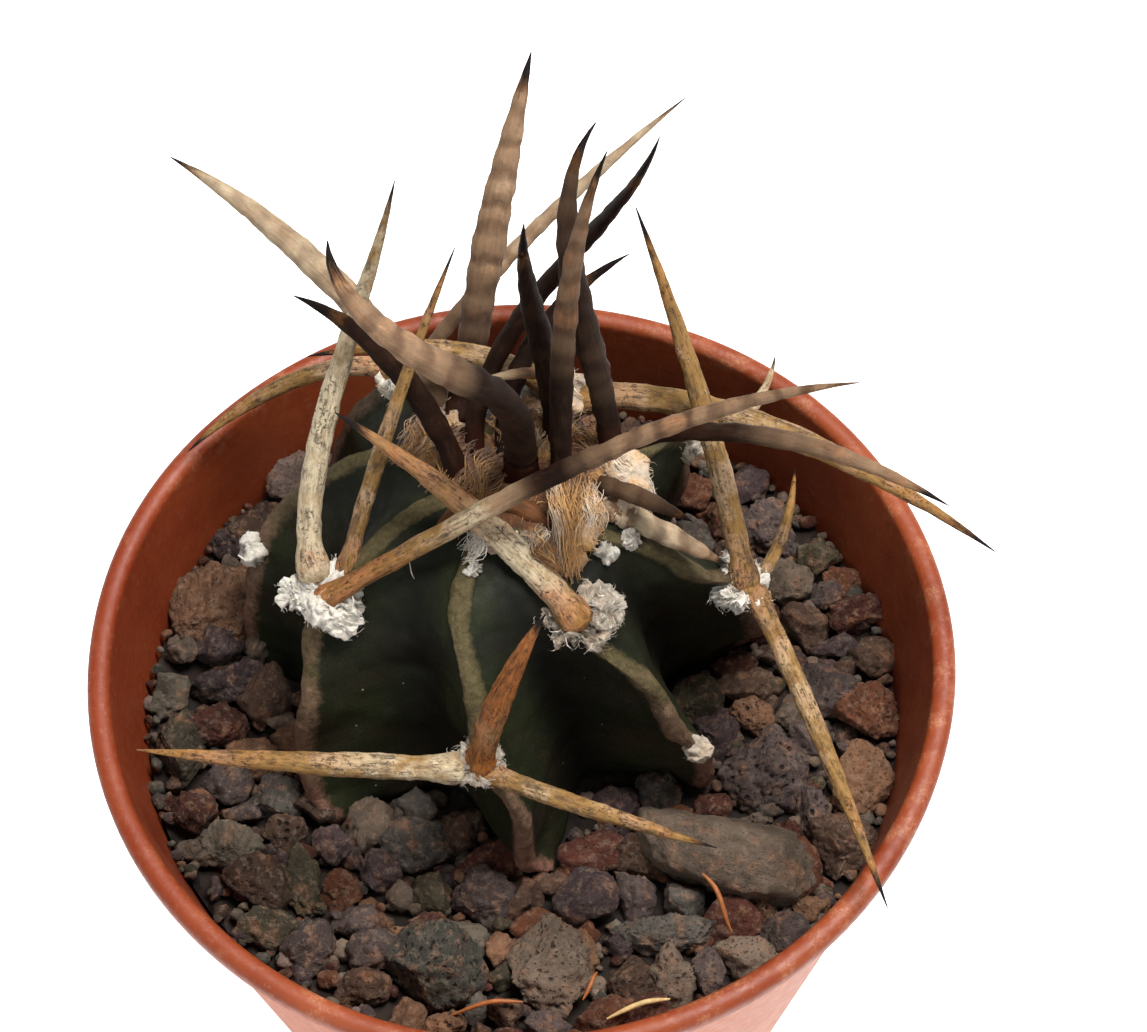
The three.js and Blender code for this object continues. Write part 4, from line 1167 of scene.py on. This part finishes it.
def stoneTree(material):
    sizes = newTree("lavaStones", {key: gravelLook[key] for key in ("detail", "cutDepth", "roughness")})
    ball = wire("GeometryNodeMeshIcoSphere", {"Radius": 1.0, "Subdivisions": sizes.detail})
    points = store(sizes.geometry, middle=position())
    made = realized(spread(points, store(ball, local=position())))
    seed, point = read("stoneSeed"), readVector("local")
    for cut in range(gravelLook["cuts"]):  # flat broken faces, each cut square to its own direction
        luck = addNode("ShaderNodeTexWhiteNoise", {"Vector": vectorOf(seed, 3.7 * cut + 1.3, 0.5)}).outputs
        facing = calc("NORMALIZE", Wire(luck["Color"]) - (0.5, 0.5, 0.5))
        limit = fit(Wire(luck["Value"]), 0.0, 1.0, sizes.cutDepth, 0.88)
        past = calc("MAXIMUM", calc("DOT_PRODUCT", point, facing) - limit, 0.0)
        point = point - facing * (past * 0.92)
    half = readVector("stoneSize") * 0.5
    shaped = point * half
    grain = shaped + vectorOf(seed * 13.7, seed * 5.1, 0.0)
    lumps = patch(grain, 0.42, 2.0, 0.5, 0.3, 0.7, -0.26, 0.22)
    knobs = patch(grain, 1.3, 5, 0.75, 0.3, 0.7, -0.3, 0.24)
    bubbles = fit(cells(grain, 1.5), 0.32, 0.1) * fit(read("pits"), 0.1, 0.8) * 0.28
    push = (lumps + knobs - bubbles) * sizes.roughness * fit(calc("LENGTH", half), 0.5, 3.0, 0.35, 1.0)
    rough = {"Vector": shaped + calc("NORMALIZE", point) * push, "Rotation": readVector("stoneTurn")}
    turned = wire("ShaderNodeVectorRotate", rough, rotation_type="EULER_XYZ")
    return endTree(setPlace(store(made, grain=grain), turned + readVector("middle")), material)


def stoneRows():  # every stone as x, y, width, depth, tone and pits: the large ones, then the fill
    look, luck, rows = gravelLook, random.Random(gravelLook["seed"]), list(largeStones)
    for size in look["fillSizes"]:
        for _ in range(look["fillTries"]):
            turn, away = luck.uniform(0, 2 * math.pi), look["fillRadius"] * math.sqrt(luck.random())
            x, y = aroundAxis(away, turn)
            wide, deep = size * luck.uniform(0.85, 1.2), size * luck.uniform(0.75, 1.05)
            tone, pits = luck.choice(look["fillTones"]), luck.choice((0.0, 0.1, 0.3, 0.7))
            if not clearOfBody(x, y, 0.3 * size) or away > insideAt(bedHeight(x, y)) - 0.5 * size - 0.2:
                continue
            high = min(wide, deep)
            if all(math.hypot(x - row[0], y - row[1]) > 0.4 * (min(row[2:4]) + high) for row in rows):
                rows.append((x, y, wide, deep, tone, pits))
    return rows


def gritRows(luck):
    look, rows = gravelLook, []
    while len(rows) < look["grit"]:
        turn, away = luck.uniform(0, 2 * math.pi), look["gritRadius"] * math.sqrt(luck.random())
        x, y = aroundAxis(away, turn)
        size = luck.uniform(0.6, 1.4)
        if clearOfBody(x, y, 0.1):
            rows.append((x, y, size, size * luck.uniform(0.7, 1), luck.choice(list(tones)), 0.0))
    return rows


def buildStones(name, rows, luck, tree, detail, swell, lift):
    look = gravelLook
    facts = {key: [] for key in ("stoneSize", "stoneTurn", "stoneSeed", "tone", "pits")}
    places = []
    for x, y, wide, deep, tone, pits in rows:
        high = min(wide, deep)
        edge, away = insideAt(bedHeight(x, y)) - 0.45 * swell * high, math.hypot(x, y)
        if away > edge:
            x, y = x * edge / away, y * edge / away
        places.append((x, y, bedHeight(x, y) + lift * high + 0.02 * max(0.0, -x - 12)))
        size = (swell * wide, swell * deep, swell * high * luck.uniform(0.85, 1.1))
        slew = look["slabTurn"] if tone == "stone" else 0.0
        turn = (luck.uniform(-0.25, 0.25), luck.uniform(-0.25, 0.25), luck.uniform(-0.15, 0.15) + slew)
        seed = luck.uniform(0, 40)
        shade = look["shade"] * luck.uniform(0.8, 1.2) * (1 + look["leftShade"] * min(0.0, x))
        color = (*(shade * part for part in tones[tone]), 1)
        for values, value in zip(facts.values(), (size, turn, seed, color, pits)):
            values.append(value)
    piece = pointPiece(name, places, facts)
    runTree(piece, tree, detail=detail)
    finishPiece(piece, "gravel", "gravel")


def buildGravel():
    look, luck = gravelLook, random.Random(gravelLook["seed"] + 1)
    tree, rows, widest = stoneTree(stoneMaterial()), stoneRows(), math.inf
    for name, over, detail, swell in stoneGroups:
        group = [row for row in rows if over < max(row[2:4]) <= widest]
        buildStones(name, group, luck, tree, detail, swell, look["lift"])
        widest = over
    buildStones("grit", gritRows(luck), luck, tree, look["gritDetail"], 1.0, look["gritLift"])


# The bed's colours are far darker than the soil's: painted shade in the gaps between the stones
bedLook = {
    "around": 180, "across": 14, "uneven": (-0.25, 0.2), "sunk": 0.2, "innerShare": 0.9, "outerGap": 0.12,
    "low": linear(18, 12, 8), "middle": linear(40, 27, 18), "high": linear(78, 56, 38),
}


def buildBed():  # a ring of fines, dark as painted shade between the stones, from the soil's top to just under the middles of the stones
    look, around, across = gravelLook, bedLook["around"], bedLook["across"]
    mesh, luck, columns = bmesh.new(), random.Random(look["seed"] + 2), []
    foot, bottom = Vector(bodyLook["foot"]), look["soilTop"] + look["gap"]
    for i in range(around):
        toWall = Vector(aroundAxis(1, i / around * 2 * math.pi))
        outer = toWall * (insideAt(look["bedTop"] + 0.7 * look["bedRise"]) - bedLook["outerGap"])
        inner = foot + (outer - foot).normalized() * (bodyReach(*outer) * bedLook["innerShare"])
        places = [(*inner, bottom)]
        for k in range(across):
            x, y = inner.lerp(outer, k / (across - 1))
            places.append((x, y, bedHeight(x, y) - bedLook["sunk"] + luck.uniform(*bedLook["uneven"])))
        places.append((*(toWall * (insideAt(look["soilTop"]) - look["gap"])), bottom))
        columns.append([mesh.verts.new(place) for place in places])
    for i, column in enumerate(columns):
        following = columns[(i + 1) % around]
        for k in range(len(column)):
            j = (k + 1) % len(column)
            mesh.faces.new((column[k], column[j], following[j], following[k]))
    bmesh.ops.recalc_face_normals(mesh, faces=mesh.faces)
    material = soilMaterial("finesInPaintedShade", bedLook["low"], bedLook["middle"], bedLook["high"])
    piece = meshPiece("gravelBed", mesh, material)
    piece.data.shade_smooth()
    finishPiece(piece, "gravel", "gravel")


buildGravel()
buildBed()


# Camera, floor and light

viewLook = {
    "lens": 109.06, "sensor": 36, "place": (0.0, -0.109875, 0.238598),
    "right": (0.99780388, -0.06351394, -0.01879909), "up": (0.06376303, 0.8441772, 0.53225852),
    "back": (-0.01793607, -0.5322883, 0.84637312), "clip": (0.01, 10),
    "floorReach": 0.6, "floorDepth": 0.0005, "floorLow": (0.9, 0.9, 0.9), "floorHigh": (0.93, 0.93, 0.93),
    "floorGlow": 0.8, "studio": 0.15, "target": (0, 0, 0.05),
}


def buildView():
    look, data = viewLook, bpy.data.cameras.new("camera")
    data.lens, data.sensor_width = look["lens"], look["sensor"]
    data.clip_start, data.clip_end = look["clip"]
    camera = newPiece("camera", data)
    turn = Matrix((look["right"], look["up"], look["back"])).transposed()
    camera.matrix_world = Matrix.Translation(look["place"]) @ turn.to_4x4()
    bpy.context.scene.camera = camera

    mesh, reach = bpy.data.meshes.new("floor"), look["floorReach"]
    corners = [(x * reach, y * reach, -look["floorDepth"]) for x, y in ((-1, -1), (1, -1), (1, 1), (-1, 1))]
    mesh.from_pydata(corners, [], [(0, 1, 2, 3)])
    newMaterial("paleFloor")
    color = mixed(noise(objectPlace(), 0.02), look["floorLow"], look["floorHigh"])
    mesh.materials.append(endMaterial(color, 0.9, None, glowColor=(1, 1, 1), glow=look["floorGlow"]))
    floor = newPiece("floor", mesh)


def addLight(name, place, size, power, color):
    light = bpy.data.lights.new(name, "AREA")
    light.shape, light.size, light.energy, light.color = "DISK", size, power, color
    lamp = newPiece(name, light)
    lamp.location = place
    lamp.rotation_euler = (Vector(viewLook["target"]) - Vector(place)).to_track_quat("-Z", "Y").to_euler()


def buildLight():
    world = bpy.data.worlds.new("studio")
    bpy.context.scene.world = world
    world.use_nodes = True
    background = world.node_tree.nodes["Background"].inputs
    background["Color"].default_value = (1, 1, 1, 1)
    background["Strength"].default_value = viewLook["studio"]
    addLight("windowAbove", (0.14, 0.08, 0.55), 0.26, 4.6, (1.0, 0.98, 0.95))
    addLight("softFront", (-0.25, -0.45, 0.4), 0.5, 1.2, (0.97, 0.98, 1.0))
    bpy.context.scene.view_settings.view_transform = "Standard"


buildView()
buildLight()
